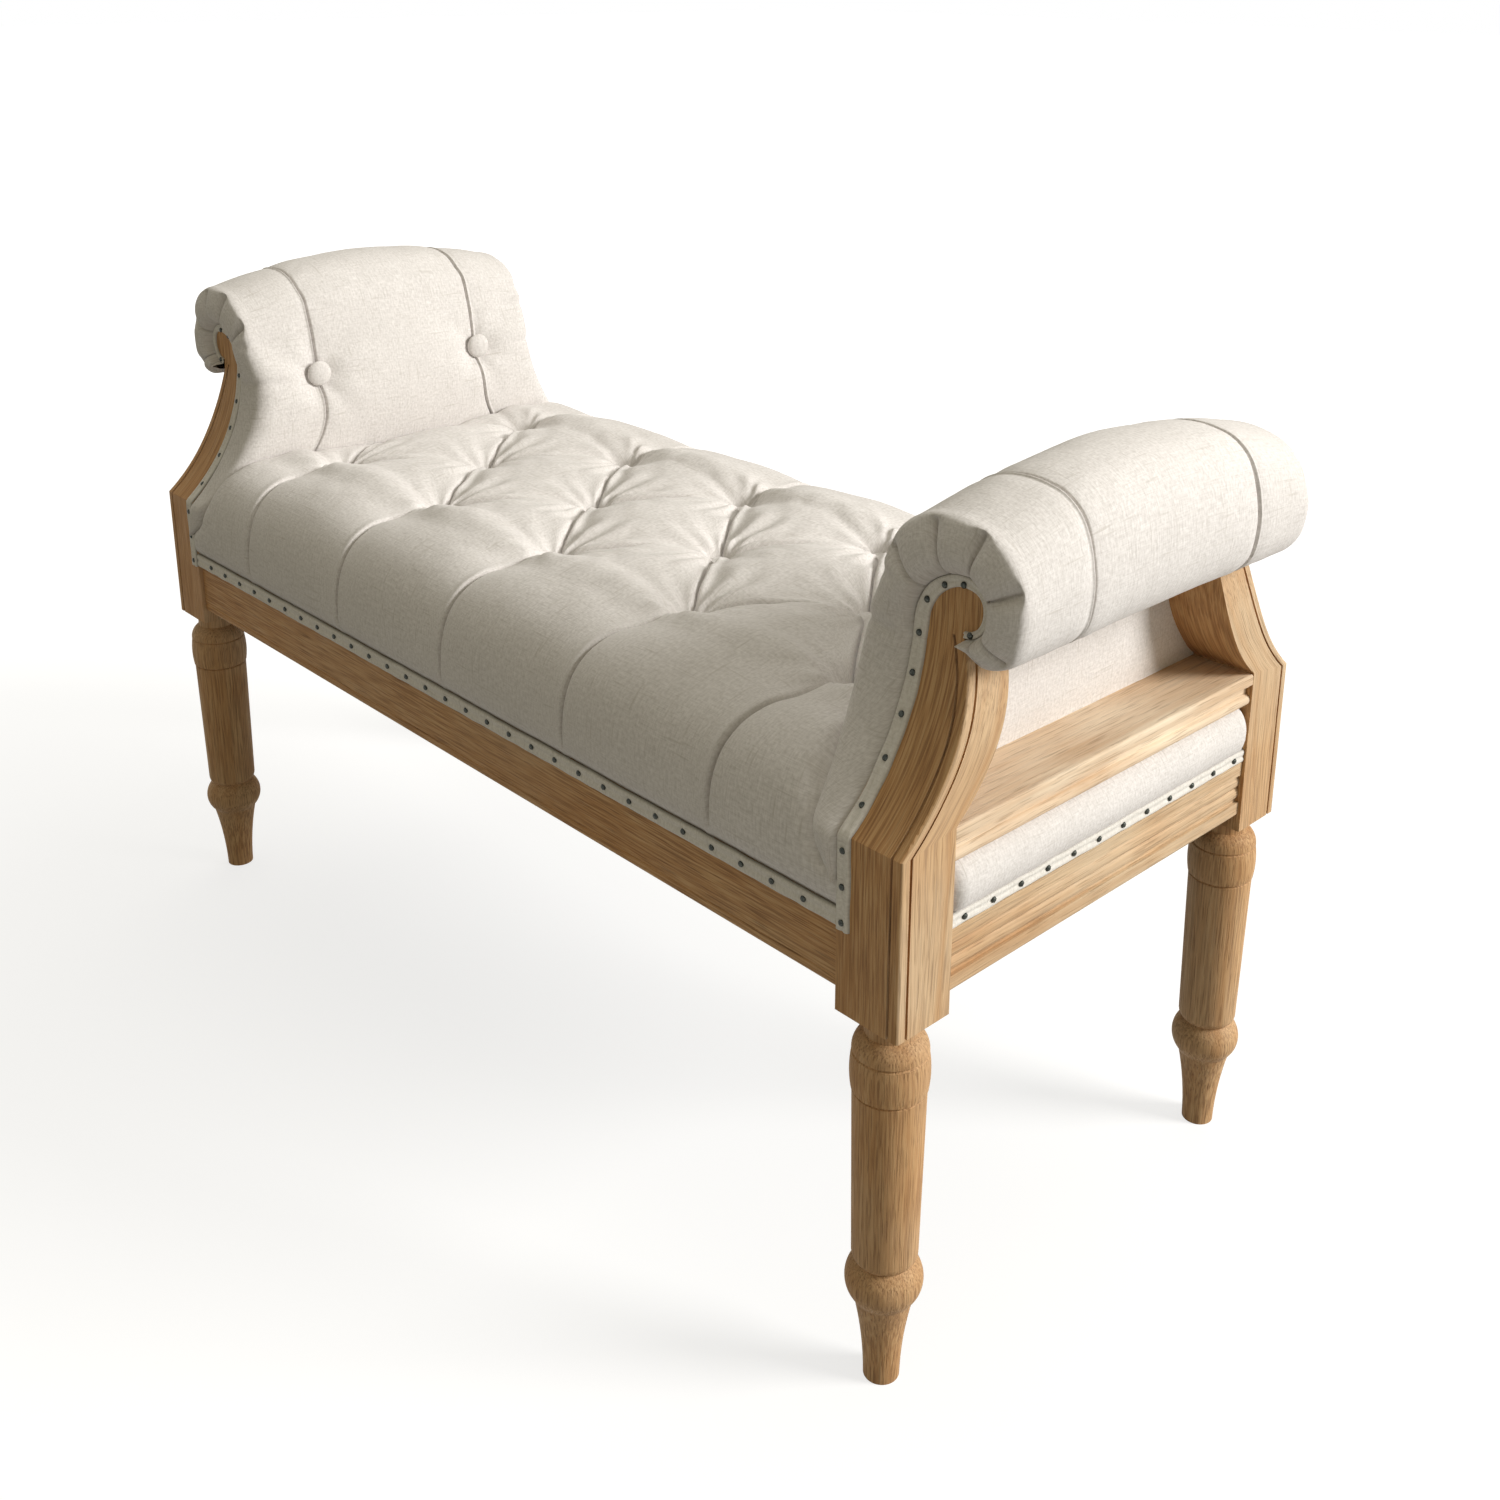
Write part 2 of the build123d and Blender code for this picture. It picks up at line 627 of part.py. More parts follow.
# Padded arm: inside padding and roll, hollow for the wood, drawn in at two buttons and their folds
def make_arm_pad(wood):
    slab = make_arm_slab()
    pad = slab + make_roll(0)
    core = make_roll(CHANNEL_DEPTH) + Pos(CHANNEL_DEPTH, 0, 0) * slab
    pit_bottom = INNER - ARM_BULGE + ARM_TUFT_DEPTH
    for y in (-BUTTON_Y, BUTTON_Y):
        strip = box(0, FAR, y - CHANNEL_WIDTH / 2, y + CHANNEL_WIDTH / 2, DECK_TOP, FAR)
        pad = pad - (strip - core)
        pit = Cone(
            BUTTON_RADIUS + 2 * ARM_TUFT_DEPTH, BUTTON_RADIUS + SOFT_FIT, 2 * ARM_TUFT_DEPTH
        )
        pad = pad - Pos(pit_bottom - ARM_TUFT_DEPTH, y, ARM_BUTTON_HEIGHT) * (Rot(0, 90, 0) * pit)
    for outline in (post_outline(), scroll_outline()):
        window = deep(outline, -FAR, HEAD_FRONT)
        pad = pad - window - to_rear(window)
    under_rail = box(INNER, SEAM, HEAD_BACK, -HEAD_BACK, DECK_TOP, HEAD_SPRING)
    blank = make_post_blank()
    for piece in wood + [under_rail, blank, to_rear(blank)]:
        pad = pad - piece
    return pad


def make_button():
    """A covered button, domed side up, standing on the origin."""
    rim = (BUTTON_RADIUS, 0, BUTTON_HEIGHT / 3)
    crown = (0, 0, BUTTON_HEIGHT)
    half = make_face(
        [
            Polyline(crown, (0, 0, 0), (BUTTON_RADIUS, 0, 0), rim),
            TangentArc(crown, rim, tangent=(1, 0, 0)),
        ]
    )
    return revolve(half, Axis.Z)


def make_arm_buttons():
    """The two buttons of an arm, facing into the seat."""
    back = INNER - ARM_BULGE + ARM_TUFT_DEPTH
    button = Rot(0, -90, 0) * make_button()
    return [Pos(back, y, ARM_BUTTON_HEIGHT) * button for y in (-BUTTON_Y, BUTTON_Y)]


# Places of the buttons on the seat: five, four and five
def tuft_places():
    wide = [(column * TUFT_PITCH, ROW_PITCH) for column in (-2, -1, 0, 1, 2)]
    middle = [(column * TUFT_PITCH, 0.0) for column in (-1.5, -0.5, 0.5, 1.5)]
    front = [(x, -y) for x, y in wide]
    return front, middle, wide


def seat_section(x, top, shoulder, inset):
    half = -RAIL_FACE + SEAT_PUFF - inset
    crest = top - inset
    edge = crest - SEAT_CROWN
    low = RAIL_TOP
    left = (x, -half, edge - shoulder)
    right = (x, half, edge - shoulder)
    left_top = (x, -half + shoulder, edge)
    right_top = (x, half - shoulder, edge)
    return make_face(
        [
            Line((x, half, low), (x, -half, low)),
            Line((x, -half, low), left),
            TangentArc(left, left_top, tangent=(0, 0, 1)),
            ThreePointArc(left_top, (x, 0, crest), right_top),
            TangentArc(right, right_top, tangent=(0, 0, 1)),
            Line(right, (x, half, low)),
        ]
    )


def make_seat_body(inset):
    """The crowned seat before it is buttoned, falling away towards the arms."""
    end = INNER - SOFT_FIT - inset
    rounding = dict(SEAT_END_ROUND)
    half = [(0.0, SEAT_TOP, SEAT_SHOULDER)]
    for share, drop in SEAT_FALL:
        half.append((end * share, SEAT_TOP - drop, SEAT_SHOULDER * rounding.get(share, 1.0)))
    right = [seat_section(x, top, shoulder, inset) for x, top, shoulder in half]
    left = [seat_section(-x, top, shoulder, inset) for x, top, shoulder in reversed(half[1:])]
    return loft(left + right, ruled=True)


def fold_cut(start, end):
    """A straight fold between two buttons, round-bottomed, sinking into the crowned top."""
    run = math.dist(start, end)
    angle = math.degrees(math.atan2(end[1] - start[1], end[0] - start[0]))
    bottom = SEAT_TOP - SEAT_CROWN / 2 - FOLD_DEPTH
    rise = SEAT_TOP + FOLD_DEPTH - bottom
    section = make_face(
        [
            ThreePointArc(
                (0, -FOLD_WIDTH, bottom + rise),
                (0, -FOLD_WIDTH / 5, bottom + rise / 4),
                (0, 0, bottom),
            ),
            ThreePointArc(
                (0, FOLD_WIDTH, bottom + rise),
                (0, FOLD_WIDTH / 5, bottom + rise / 4),
                (0, 0, bottom),
            ),
            Line((0, -FOLD_WIDTH, bottom + rise), (0, FOLD_WIDTH, bottom + rise)),
        ]
    )
    bar = across(section, 0, run)
    return Pos(start[0], start[1], 0) * (Rot(0, 0, angle) * bar)


# Seat: crowned body drawn in at fourteen buttons, with folds between them and over the edges
def make_seat_cushion(cut_out):
    seat = make_seat_body(0)
    core = make_seat_body(2 * CHANNEL_DEPTH)
    front, middle, rear = tuft_places()
    cuts = []
    for x, y in front + rear:
        side = math.copysign(1, y)
        near, far = sorted((y, side * FAR))
        strip = box(x - CHANNEL_WIDTH / 2, x + CHANNEL_WIDTH / 2, near, far, RAIL_TOP, FAR)
        cuts.append(strip - core)
    for row in (front, rear):
        for x, y in middle:
            for x_end, y_end in row:
                if abs(x_end - x) < TUFT_PITCH:
                    cuts.append(fold_cut((x, y), (x_end, y_end)))
        for x, y in (row[0], row[-1]):
            cuts.append(fold_cut((x, y), (math.copysign(INNER - ARM_BULGE, x), y)))
    pit_height = SEAT_TOP + SEAT_CROWN - TUFT_HEIGHT
    for x, y in front + middle + rear:
        pit = Cone(
            BUTTON_RADIUS + SOFT_FIT,
            TUFT_RADIUS,
            pit_height,
            align=(Align.CENTER, Align.CENTER, Align.MIN),
        )
        cuts.append(Pos(x, y, TUFT_HEIGHT) * pit)
        cuts.append(Pos(x, y, 0) * Cylinder(TWINE_RADIUS + FIT, FAR))
    for cut in cuts:
        seat = seat - cut
    for y in (RAIL_FACE - SKIRT, -RAIL_FACE):
        seat = seat + box(-INNER, INNER, y, y + SKIRT, TRIM_BOTTOM, RAIL_TOP + SKIRT)
    for piece in cut_out:
        seat = seat - piece
    return seat


def make_foam():
    reach = INNER - ARM_BULGE - FOAM_MARGIN
    half = -RAIL_FACE - FOAM_MARGIN
    foam = box(-reach, reach, -half, half, DECK_TOP, FOAM_TOP)
    return fillet(foam.edges().group_by(Axis.Z)[-1], FOAM_MARGIN / 2)


def make_dust_cover():
    top = RAIL_BOTTOM
    low = top - DUST_COVER
    long_reach = INNER - SOFT_FIT
    sheet = box(-long_reach, long_reach, RAIL_FACE + DUST_MARGIN, -RAIL_FACE - DUST_MARGIN, low, top)
    end_reach = END_FACE - DUST_MARGIN
    end_half = BLOCK_BACK + SOFT_FIT
    return sheet + box(-end_reach, end_reach, end_half, -end_half, low, top)


def make_corner_block():
    top = RAIL_TOP
    low = top - BLOCK_HEIGHT
    plan = make_face(
        Polyline(
            (INNER - BLOCK_REACH, RAIL_BACK, low),
            (INNER, RAIL_BACK, low),
            (INNER, BLOCK_BACK, low),
            (END_BACK, BLOCK_BACK, low),
            (END_BACK, BLOCK_BACK + BLOCK_REACH, low),
            (INNER - BLOCK_REACH, RAIL_BACK, low),
        )
    )
    return extrude(plan, amount=BLOCK_HEIGHT, dir=(0, 0, 1))


# Screw seats: one screw of a corner block runs into the long rail, the other into the end rail
def screw_at_origin(clearance, cutter):
    """A pan-headed screw pointing down from its seat at the origin, or the hole for one."""
    shank = Cylinder(
        SCREW_RADIUS + clearance, SCREW_LENGTH + clearance, align=(Align.CENTER, Align.CENTER, Align.MAX)
    )
    height = FAR if cutter else SCREW_HEAD_HEIGHT
    head = Cylinder(SCREW_HEAD + clearance, height, align=(Align.CENTER, Align.CENTER, Align.MIN))
    return shank + head


def block_screws(clearance, cutter):
    screw = screw_at_origin(clearance, cutter)
    share = BLOCK_REACH / 3
    middle = RAIL_TOP - BLOCK_HEIGHT / 2
    long_way = Pos(INNER - share, RAIL_BACK + SCREW_SEAT, middle + SCREW_HEAD) * (Rot(-90, 0, 0) * screw)
    end_way = Pos(END_BACK - SCREW_SEAT, BLOCK_BACK + share, middle - SCREW_HEAD) * (Rot(0, -90, 0) * screw)
    return [long_way, end_way]


def make_bolt():
    return Pos(LEG_X, LEG_Y, LEG_HEIGHT) * Cylinder(BOLT_RADIUS, 2 * BOLT_REACH)


def make_insert():
    tube = Cylinder(INSERT_RADIUS, INSERT_LENGTH) - Cylinder(BOLT_RADIUS + FIT, INSERT_LENGTH)
    return Pos(LEG_X, LEG_Y, LEG_HEIGHT + INSERT_LENGTH / 2) * tube


# Tape over the nailed edges
def make_rail_trim():
    face = RAIL_FACE - SKIRT
    return box(-INNER, INNER, face - TRIM, face, TRIM_BOTTOM, TRIM_BOTTOM + TRIM_WIDTH)


def make_arm_trim():
    up_the_post = make_face(
        [
            Polyline(
                (SEAM, 0, HEAD_TOP - ARM_TRIM_WIDTH),
                (SEAM, 0, HEAD_TOP),
            ),
            head_arc(0),
            Polyline(
                (INNER, 0, HEAD_SPRING),
                (INNER, 0, TRIM_BOTTOM),
                (INNER + ARM_TRIM_WIDTH, 0, TRIM_BOTTOM),
                (INNER + ARM_TRIM_WIDTH, 0, HEAD_SPRING),
            ),
            head_arc(ARM_TRIM_WIDTH),
        ]
    )
    skin = across(face_skin(TRIM, 0, HEAD_TOP), 0, FAR)
    tape = deep(up_the_post, -FAR, 0) & skin
    middle = (HEAD_SPRING + HEAD_TOP) / 2
    width = SCROLL_TRIM_WIDTH
    round_the_scroll = make_face(
        [
            ThreePointArc(
                (SEAM, 0, HEAD_TOP), (SEAM + SCROLL_BULGE, 0, middle), (SEAM, 0, HEAD_SPRING)
            ),
            Line((SEAM, 0, HEAD_SPRING), (SEAM, 0, HEAD_SPRING + width)),
            ThreePointArc(
                (SEAM, 0, HEAD_SPRING + width),
                (SEAM + SCROLL_BULGE - width, 0, middle),
                (SEAM, 0, HEAD_TOP - width),
            ),
            Line((SEAM, 0, HEAD_TOP - width), (SEAM, 0, HEAD_TOP)),
        ]
    )
    return tape + deep(round_the_scroll, HEAD_FRONT - TRIM, HEAD_FRONT)


# Small faceted nail heads, pointing up at the origin
def make_nail():
    low = RegularPolygon(NAIL_RADIUS, NAIL_SIDES)
    high = Pos(0, 0, NAIL_HEIGHT) * RegularPolygon(NAIL_RADIUS / 2, NAIL_SIDES)
    return loft([low, high], ruled=True)


def spread(reach, pitch):
    """Evenly spaced places within plus and minus reach, about a pitch apart."""
    count = max(1, round(2 * reach / pitch))
    return [-reach + 2 * reach * step / count for step in range(count + 1)]


def make_rail_nails():
    """Nails along both long rails and both end rails."""
    nail = make_nail()
    nails = []
    height = TRIM_BOTTOM + TRIM_WIDTH / 2
    face = RAIL_FACE - SKIRT - TRIM
    for x in spread(INNER - RAIL_NAIL_PITCH, RAIL_NAIL_PITCH):
        nails.append(Pos(x, face, height) * (Rot(90, 0, 0) * nail))
    nails += [to_rear(one) for one in nails]
    end_height = END_FASCIA_TOP + END_TRIM_WIDTH / 2
    ends = []
    for y in spread(-BLOCK_BACK - END_NAIL_PITCH / 2, END_NAIL_PITCH):
        ends.append(Pos(END_FACE, y, end_height) * (Rot(0, 90, 0) * nail))
    return nails + ends + [to_left(one) for one in ends]


def make_arm_nails():
    """Nails up the four posts and over their heads."""
    nail = make_nail()
    nails = []
    x = INNER + ARM_TRIM_WIDTH / 2
    rise = HEAD_SPRING - TRIM_BOTTOM - ARM_TRIM_WIDTH
    count = round(rise / ARM_NAIL_PITCH)
    sweep = SWEEP_TOP - FOLD_HEIGHT
    radius = (SETBACK**2 + sweep**2) / (2 * SETBACK)
    for step in range(count + 1):
        z = TRIM_BOTTOM + ARM_TRIM_WIDTH / 2 + rise * step / count
        tilt = 0.0
        if z > FOLD_HEIGHT:
            tilt = math.degrees(math.asin((SWEEP_TOP - z) / radius))
        nails.append(Pos(x, -face_depth(z) - TRIM, z) * (Rot(90 - tilt, 0, 0) * nail))
    head_radius = SEAM - INNER - ARM_TRIM_WIDTH / 2
    for angle in HEAD_NAIL_ANGLES:
        place = Pos(
            SEAM + head_radius * math.cos(math.radians(angle)),
            HEAD_FRONT - TRIM,
            HEAD_SPRING + head_radius * math.sin(math.radians(angle)),
        )
        nails.append(place * (Rot(90, 0, 0) * nail))
    nails += [to_left(one) for one in nails]
    return nails + [to_rear(one) for one in nails]


def along_tufts(shape):
    front, middle, rear = tuft_places()
    return [Pos(x, y, 0) * shape for x, y in front + middle + rear]


def upright(radius, low, high):
    return Pos(0, 0, (low + high) / 2) * Cylinder(radius, high - low)


def corners(shape):
    """The four mirrored copies of a front right piece, by corner."""
    rear = to_rear(shape)
    return {
        "front_right": shape,
        "front_left": to_left(shape),
        "rear_right": rear,
        "rear_left": to_left(rear),
    }


def build():
    nodes = {}

    def add_corners(name, shape):
        for corner, copy in corners(shape).items():
            nodes[f"{name}_{corner}"] = copy

    def add_ends(name, shape):
        nodes[f"{name}_right"] = shape
        nodes[f"{name}_left"] = to_left(shape)

    def add_sides(name, shape):
        nodes[f"front_{name}"] = shape
        nodes[f"rear_{name}"] = to_rear(shape)

    def add_group(name, shapes):
        nodes[name] = Compound(children=list(shapes))

    screw_holes = block_screws(FIT, True)

    add_corners("post", make_post())
    add_corners("leg", make_leg())
    rail = make_long_rail()
    end_rail = make_end_rail()
    for mirrored in (screw_holes[0], to_left(screw_holes[0])):
        rail = rail - mirrored
    for mirrored in (screw_holes[1], to_rear(screw_holes[1])):
        end_rail = end_rail - mirrored
    add_sides("rail", rail)
    add_ends("end_rail", end_rail)
    add_ends("ledge", make_ledge())
    top_rail = make_arm_top_rail()
    scroll = make_scroll_rail()
    board = make_arm_board()
    panel = make_outside_panel()
    add_ends("arm_top_rail", top_rail)
    add_ends("arm_scroll_rail", scroll)
    add_ends("arm_board", board)
    add_ends("outside_panel", panel)
    add_ends("end_band", make_end_band())
    add_ends("end_trim", make_end_trim())
    add_sides("trim", make_rail_trim())
    add_corners("arm_trim", make_arm_trim())

    pad = make_arm_pad([top_rail, scroll, board])
    add_ends("arm_pad", pad)
    buttons = make_arm_buttons()
    add_group("arm_buttons_right", buttons)
    add_group("arm_buttons_left", [to_left(one) for one in buttons])

    deck = box(-INNER, INNER, RAIL_FACE, -RAIL_FACE, RAIL_TOP, DECK_TOP)
    foam = make_foam()
    for hole in along_tufts(Cylinder(TWINE_RADIUS + FIT, FAR)):
        deck = deck - hole
        foam = foam - hole
    nodes["seat_deck"] = deck
    nodes["seat_foam"] = foam
    solid_deck = box(-INNER, INNER, RAIL_FACE, -RAIL_FACE, RAIL_TOP, DECK_TOP)
    ends = [pad, to_left(pad), board, to_left(board)]
    nodes["seat_cushion"] = make_seat_cushion(ends + [solid_deck, make_foam()])
    add_group("seat_buttons", along_tufts(Pos(0, 0, TUFT_HEIGHT) * make_button()))
    add_group("seat_twines", along_tufts(upright(TWINE_RADIUS, RAIL_TOP - WASHER, TUFT_HEIGHT)))
    washer = upright(WASHER_RADIUS, RAIL_TOP - WASHER, RAIL_TOP)
    add_group("twine_washers", along_tufts(washer - upright(TWINE_RADIUS, RAIL_TOP - WASHER, RAIL_TOP)))

    block = make_corner_block()
    for hole in screw_holes:
        block = block - hole
    add_corners("corner_block", block)
    screws = []
    for screw in block_screws(0, False):
        screws += corners(screw).values()
    add_group("block_screws", screws)
    add_group("leg_bolts", corners(make_bolt()).values())
    add_group("leg_inserts", corners(make_insert()).values())
    nodes["dust_cover"] = make_dust_cover()
    add_group("rail_nails", make_rail_nails())
    add_group("arm_nails", make_arm_nails())
    return nodes


os.makedirs("parts", exist_ok=True)
for node, shape in build().items():
    export_step(shape, f"parts/{node}.step")
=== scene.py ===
import math

import bmesh
import bpy
from mathutils import Matrix, Vector, noise


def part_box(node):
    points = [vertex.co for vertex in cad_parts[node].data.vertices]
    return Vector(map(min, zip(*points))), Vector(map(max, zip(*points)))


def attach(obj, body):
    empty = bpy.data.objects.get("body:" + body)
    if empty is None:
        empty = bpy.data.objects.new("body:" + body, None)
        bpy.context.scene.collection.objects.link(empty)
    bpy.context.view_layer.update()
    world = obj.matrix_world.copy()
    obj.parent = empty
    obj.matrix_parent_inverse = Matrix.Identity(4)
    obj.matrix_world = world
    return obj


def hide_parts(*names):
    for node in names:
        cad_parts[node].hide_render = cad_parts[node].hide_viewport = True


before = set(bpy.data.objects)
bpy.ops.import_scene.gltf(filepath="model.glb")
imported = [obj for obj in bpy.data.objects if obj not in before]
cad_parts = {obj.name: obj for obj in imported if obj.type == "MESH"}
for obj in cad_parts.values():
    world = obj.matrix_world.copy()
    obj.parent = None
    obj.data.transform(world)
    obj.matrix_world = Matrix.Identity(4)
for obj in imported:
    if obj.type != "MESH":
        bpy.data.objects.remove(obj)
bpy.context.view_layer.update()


# Studio: a wide pale floor, a large soft lamp on the right, a weaker one above and an even,
# slightly warm room light.
# The camera stands off the front right corner, a little above the arms.
scene = bpy.context.scene
scene.view_settings.view_transform = "Standard"

eye = Vector((1.2562, -1.0243, 1.0769))
aim = Vector((0.2276, -0.0282, 0.6301))
camera_data = bpy.data.cameras.new("camera")
camera_data.sensor_width = 36.0
camera_data.lens = 40.28
camera_data.shift_x = -0.0267
camera_data.shift_y = -0.18
camera_roll = math.radians(0.469)
camera = bpy.data.objects.new("camera", camera_data)
facing = (aim - eye).to_track_quat("-Z", "Y").to_matrix().to_4x4()
camera.matrix_world = Matrix.Translation(eye) @ facing @ Matrix.Rotation(camera_roll, 4, "Z")
scene.collection.objects.link(camera)
scene.camera = camera

lamp_distance = 7.0
bench_middle = Vector((0.0, 0.0, 0.5))


def hang_lamp(name, towards, level, spread, colour):
    """A round soft lamp: the way to it from the bench, its light there and how wide it looks."""
    lamp_data = bpy.data.lights.new(name, "AREA")
    lamp_data.shape = "DISK"
    lamp_data.size = 2.0 * lamp_distance * math.tan(math.radians(spread / 2.0))
    lamp_data.energy = level * math.pi * lamp_distance**2
    lamp_data.color = colour
    lamp = bpy.data.objects.new(name, lamp_data)
    way = Vector(towards).normalized()
    facing_bench = (-way).to_track_quat("-Z", "Y").to_matrix().to_4x4()
    lamp.matrix_world = Matrix.Translation(bench_middle + way * lamp_distance) @ facing_bench
    lamp.visible_camera = False
    scene.collection.objects.link(lamp)


hang_lamp("right_lamp", (0.76, 0.48, 0.42), 3.4, 22.0, (1.0, 0.985, 0.96))
hang_lamp("top_lamp", (-0.15, 0.25, 1.0), 0.9, 50.0, (1.0, 0.99, 0.975))


def feed(tree, socket, value):
    """A link or a plain value for a socket."""
    if isinstance(value, bpy.types.NodeSocket):
        tree.links.new(value, socket)
    else:
        socket.default_value = value


def add_node(tree, kind, settings=None, **sockets):
    """A shader node with its settings, and a value or a link for each socket named."""
    made = tree.nodes.new(kind)
    for name, value in (settings or {}).items():
        setattr(made, name, value)
    for name, value in sockets.items():
        feed(tree, made.inputs[name.replace("_", " ")], value)
    return made


def sum_of(tree, operation, first, second):
    """A Math node on two values or links."""
    made = add_node(tree, "ShaderNodeMath", {"operation": operation})
    feed(tree, made.inputs[0], first)
    feed(tree, made.inputs[1], second)
    return made.outputs[0]


def value_range(tree, value, low, high, to_low, to_high):
    """A value moved from one range to another, and kept inside it."""
    made = add_node(
        tree,
        "ShaderNodeMapRange",
        Value=value,
        From_Min=low,
        From_Max=high,
        To_Min=to_low,
        To_Max=to_high,
    )
    return made.outputs[0]


def new_material(name):
    """A node material and its tree and shader."""
    made = bpy.data.materials.new(name)
    made.use_nodes = True
    return made, made.node_tree, made.node_tree.nodes["Principled BSDF"]


def seen_directly(tree):
    """1 for what the camera sees, straight or in a reflection, and 0 for light on the object."""
    ray = add_node(tree, "ShaderNodeLightPath")
    shiny = sum_of(
        tree, "MAXIMUM", ray.outputs["Is Glossy Ray"], ray.outputs["Is Transmission Ray"]
    )
    return sum_of(tree, "MAXIMUM", ray.outputs["Is Camera Ray"], shiny)


pure_white = (1.0, 1.0, 1.0, 1.0)
room_level = 0.30
room_tint = (1.0, 0.915, 0.67, 1.0)
room = bpy.data.worlds.new("room")
room.use_nodes = True
scene.world = room
sky = room.node_tree.nodes["Background"]
sky.inputs["Color"].default_value = room_tint
sky.inputs["Strength"].default_value = room_level
backdrop = add_node(room.node_tree, "ShaderNodeBackground", Color=pure_white)
choice = add_node(room.node_tree, "ShaderNodeMixShader")
shown = (seen_directly(room.node_tree), sky.outputs[0], backdrop.outputs[0])
for socket, value in zip(choice.inputs, shown):
    feed(room.node_tree, socket, value)
room.node_tree.links.new(choice.outputs[0], room.node_tree.nodes["World Output"].inputs[0])

floor_half = 25.0
floor_grey = (0.34, 0.34, 0.34, 1.0)
near_glow = 0.74
far_glow = 1.05
glow_start = 0.8
glow_end = 3.5
floor_shape = bmesh.new()
bmesh.ops.create_grid(floor_shape, x_segments=1, y_segments=1, size=floor_half)
floor_mesh = bpy.data.meshes.new("floor")
floor_shape.to_mesh(floor_mesh)
floor_shape.free()
floor = bpy.data.objects.new("floor", floor_mesh)
scene.collection.objects.link(floor)
floor_paint, floor_tree, floor_shader = new_material("pale_floor")
floor_shader.inputs["Base Color"].default_value = floor_grey
floor_shader.inputs["Roughness"].default_value = 0.9
floor_shader.inputs["Specular IOR Level"].default_value = 0.1
floor_shader.inputs["Emission Color"].default_value = pure_white
floor_place = add_node(floor_tree, "ShaderNodeTexCoord").outputs["Object"]
floor_reach = add_node(floor_tree, "ShaderNodeVectorMath", {"operation": "LENGTH"}, Vector=floor_place)
floor_glow = value_range(
    floor_tree, floor_reach.outputs["Value"], glow_start, glow_end, near_glow, far_glow
)
floor_tree.links.new(
    sum_of(floor_tree, "MULTIPLY", seen_directly(floor_tree), floor_glow),
    floor_shader.inputs["Emission Strength"],
)
floor_mesh.materials.append(floor_paint)


# Turned legs: four oak spindles, turned on a lathe and bolted up into the posts.
# The oak is pale and weathered, with open grain that runs along each piece.
oak_dark = (0.22, 0.093, 0.028, 1.0)
oak_middle = (0.475, 0.245, 0.092, 1.0)
oak_light = (0.62, 0.385, 0.18, 1.0)
oak_limed = (0.66, 0.525, 0.36, 1.0)
oak_pore = (0.15, 0.072, 0.024, 1.0)
grain_stretch = 0.035
pore_stretch = 0.03
no_stretch = (1.0, 1.0, 1.0)
leg_lime = 0.35


def stretched_noise(tree, place, stretch, scale, detail, shift=(0.0, 0.0, 0.0), twist=0.0):
    """Noise drawn out along one way, as in grain and threads."""
    laid = add_node(tree, "ShaderNodeMapping", Vector=place, Location=shift, Scale=stretch)
    made = add_node(
        tree,
        "ShaderNodeTexNoise",
        Vector=laid.outputs[0],
        Scale=scale,
        Detail=detail,
        Distortion=twist,
    )
    return made.outputs[0]


def colour_steps(tree, value, steps):
    """A colour ramp through (place, colour) steps."""
    made = add_node(tree, "ShaderNodeValToRGB", Fac=value)
    marks = made.color_ramp.elements
    while len(marks) < len(steps):
        marks.new(0.5)
    for mark, (place, colour) in zip(marks, steps):
        mark.position = place
        mark.color = colour
    return made.outputs["Color"]


def mix_colours(tree, amount, under, over):
    """One colour laid over another."""
    made = add_node(tree, "ShaderNodeMix", {"data_type": "RGBA"})
    for index, value in ((0, amount), (6, under), (7, over)):
        feed(tree, made.inputs[index], value)
    return made.outputs[2]


def surface_bump(tree, shader, height, distance, strength):
    """Small relief on a surface."""
    made = add_node(tree, "ShaderNodeBump", Height=height, Distance=distance, Strength=strength)
    tree.links.new(made.outputs[0], shader.inputs["Normal"])


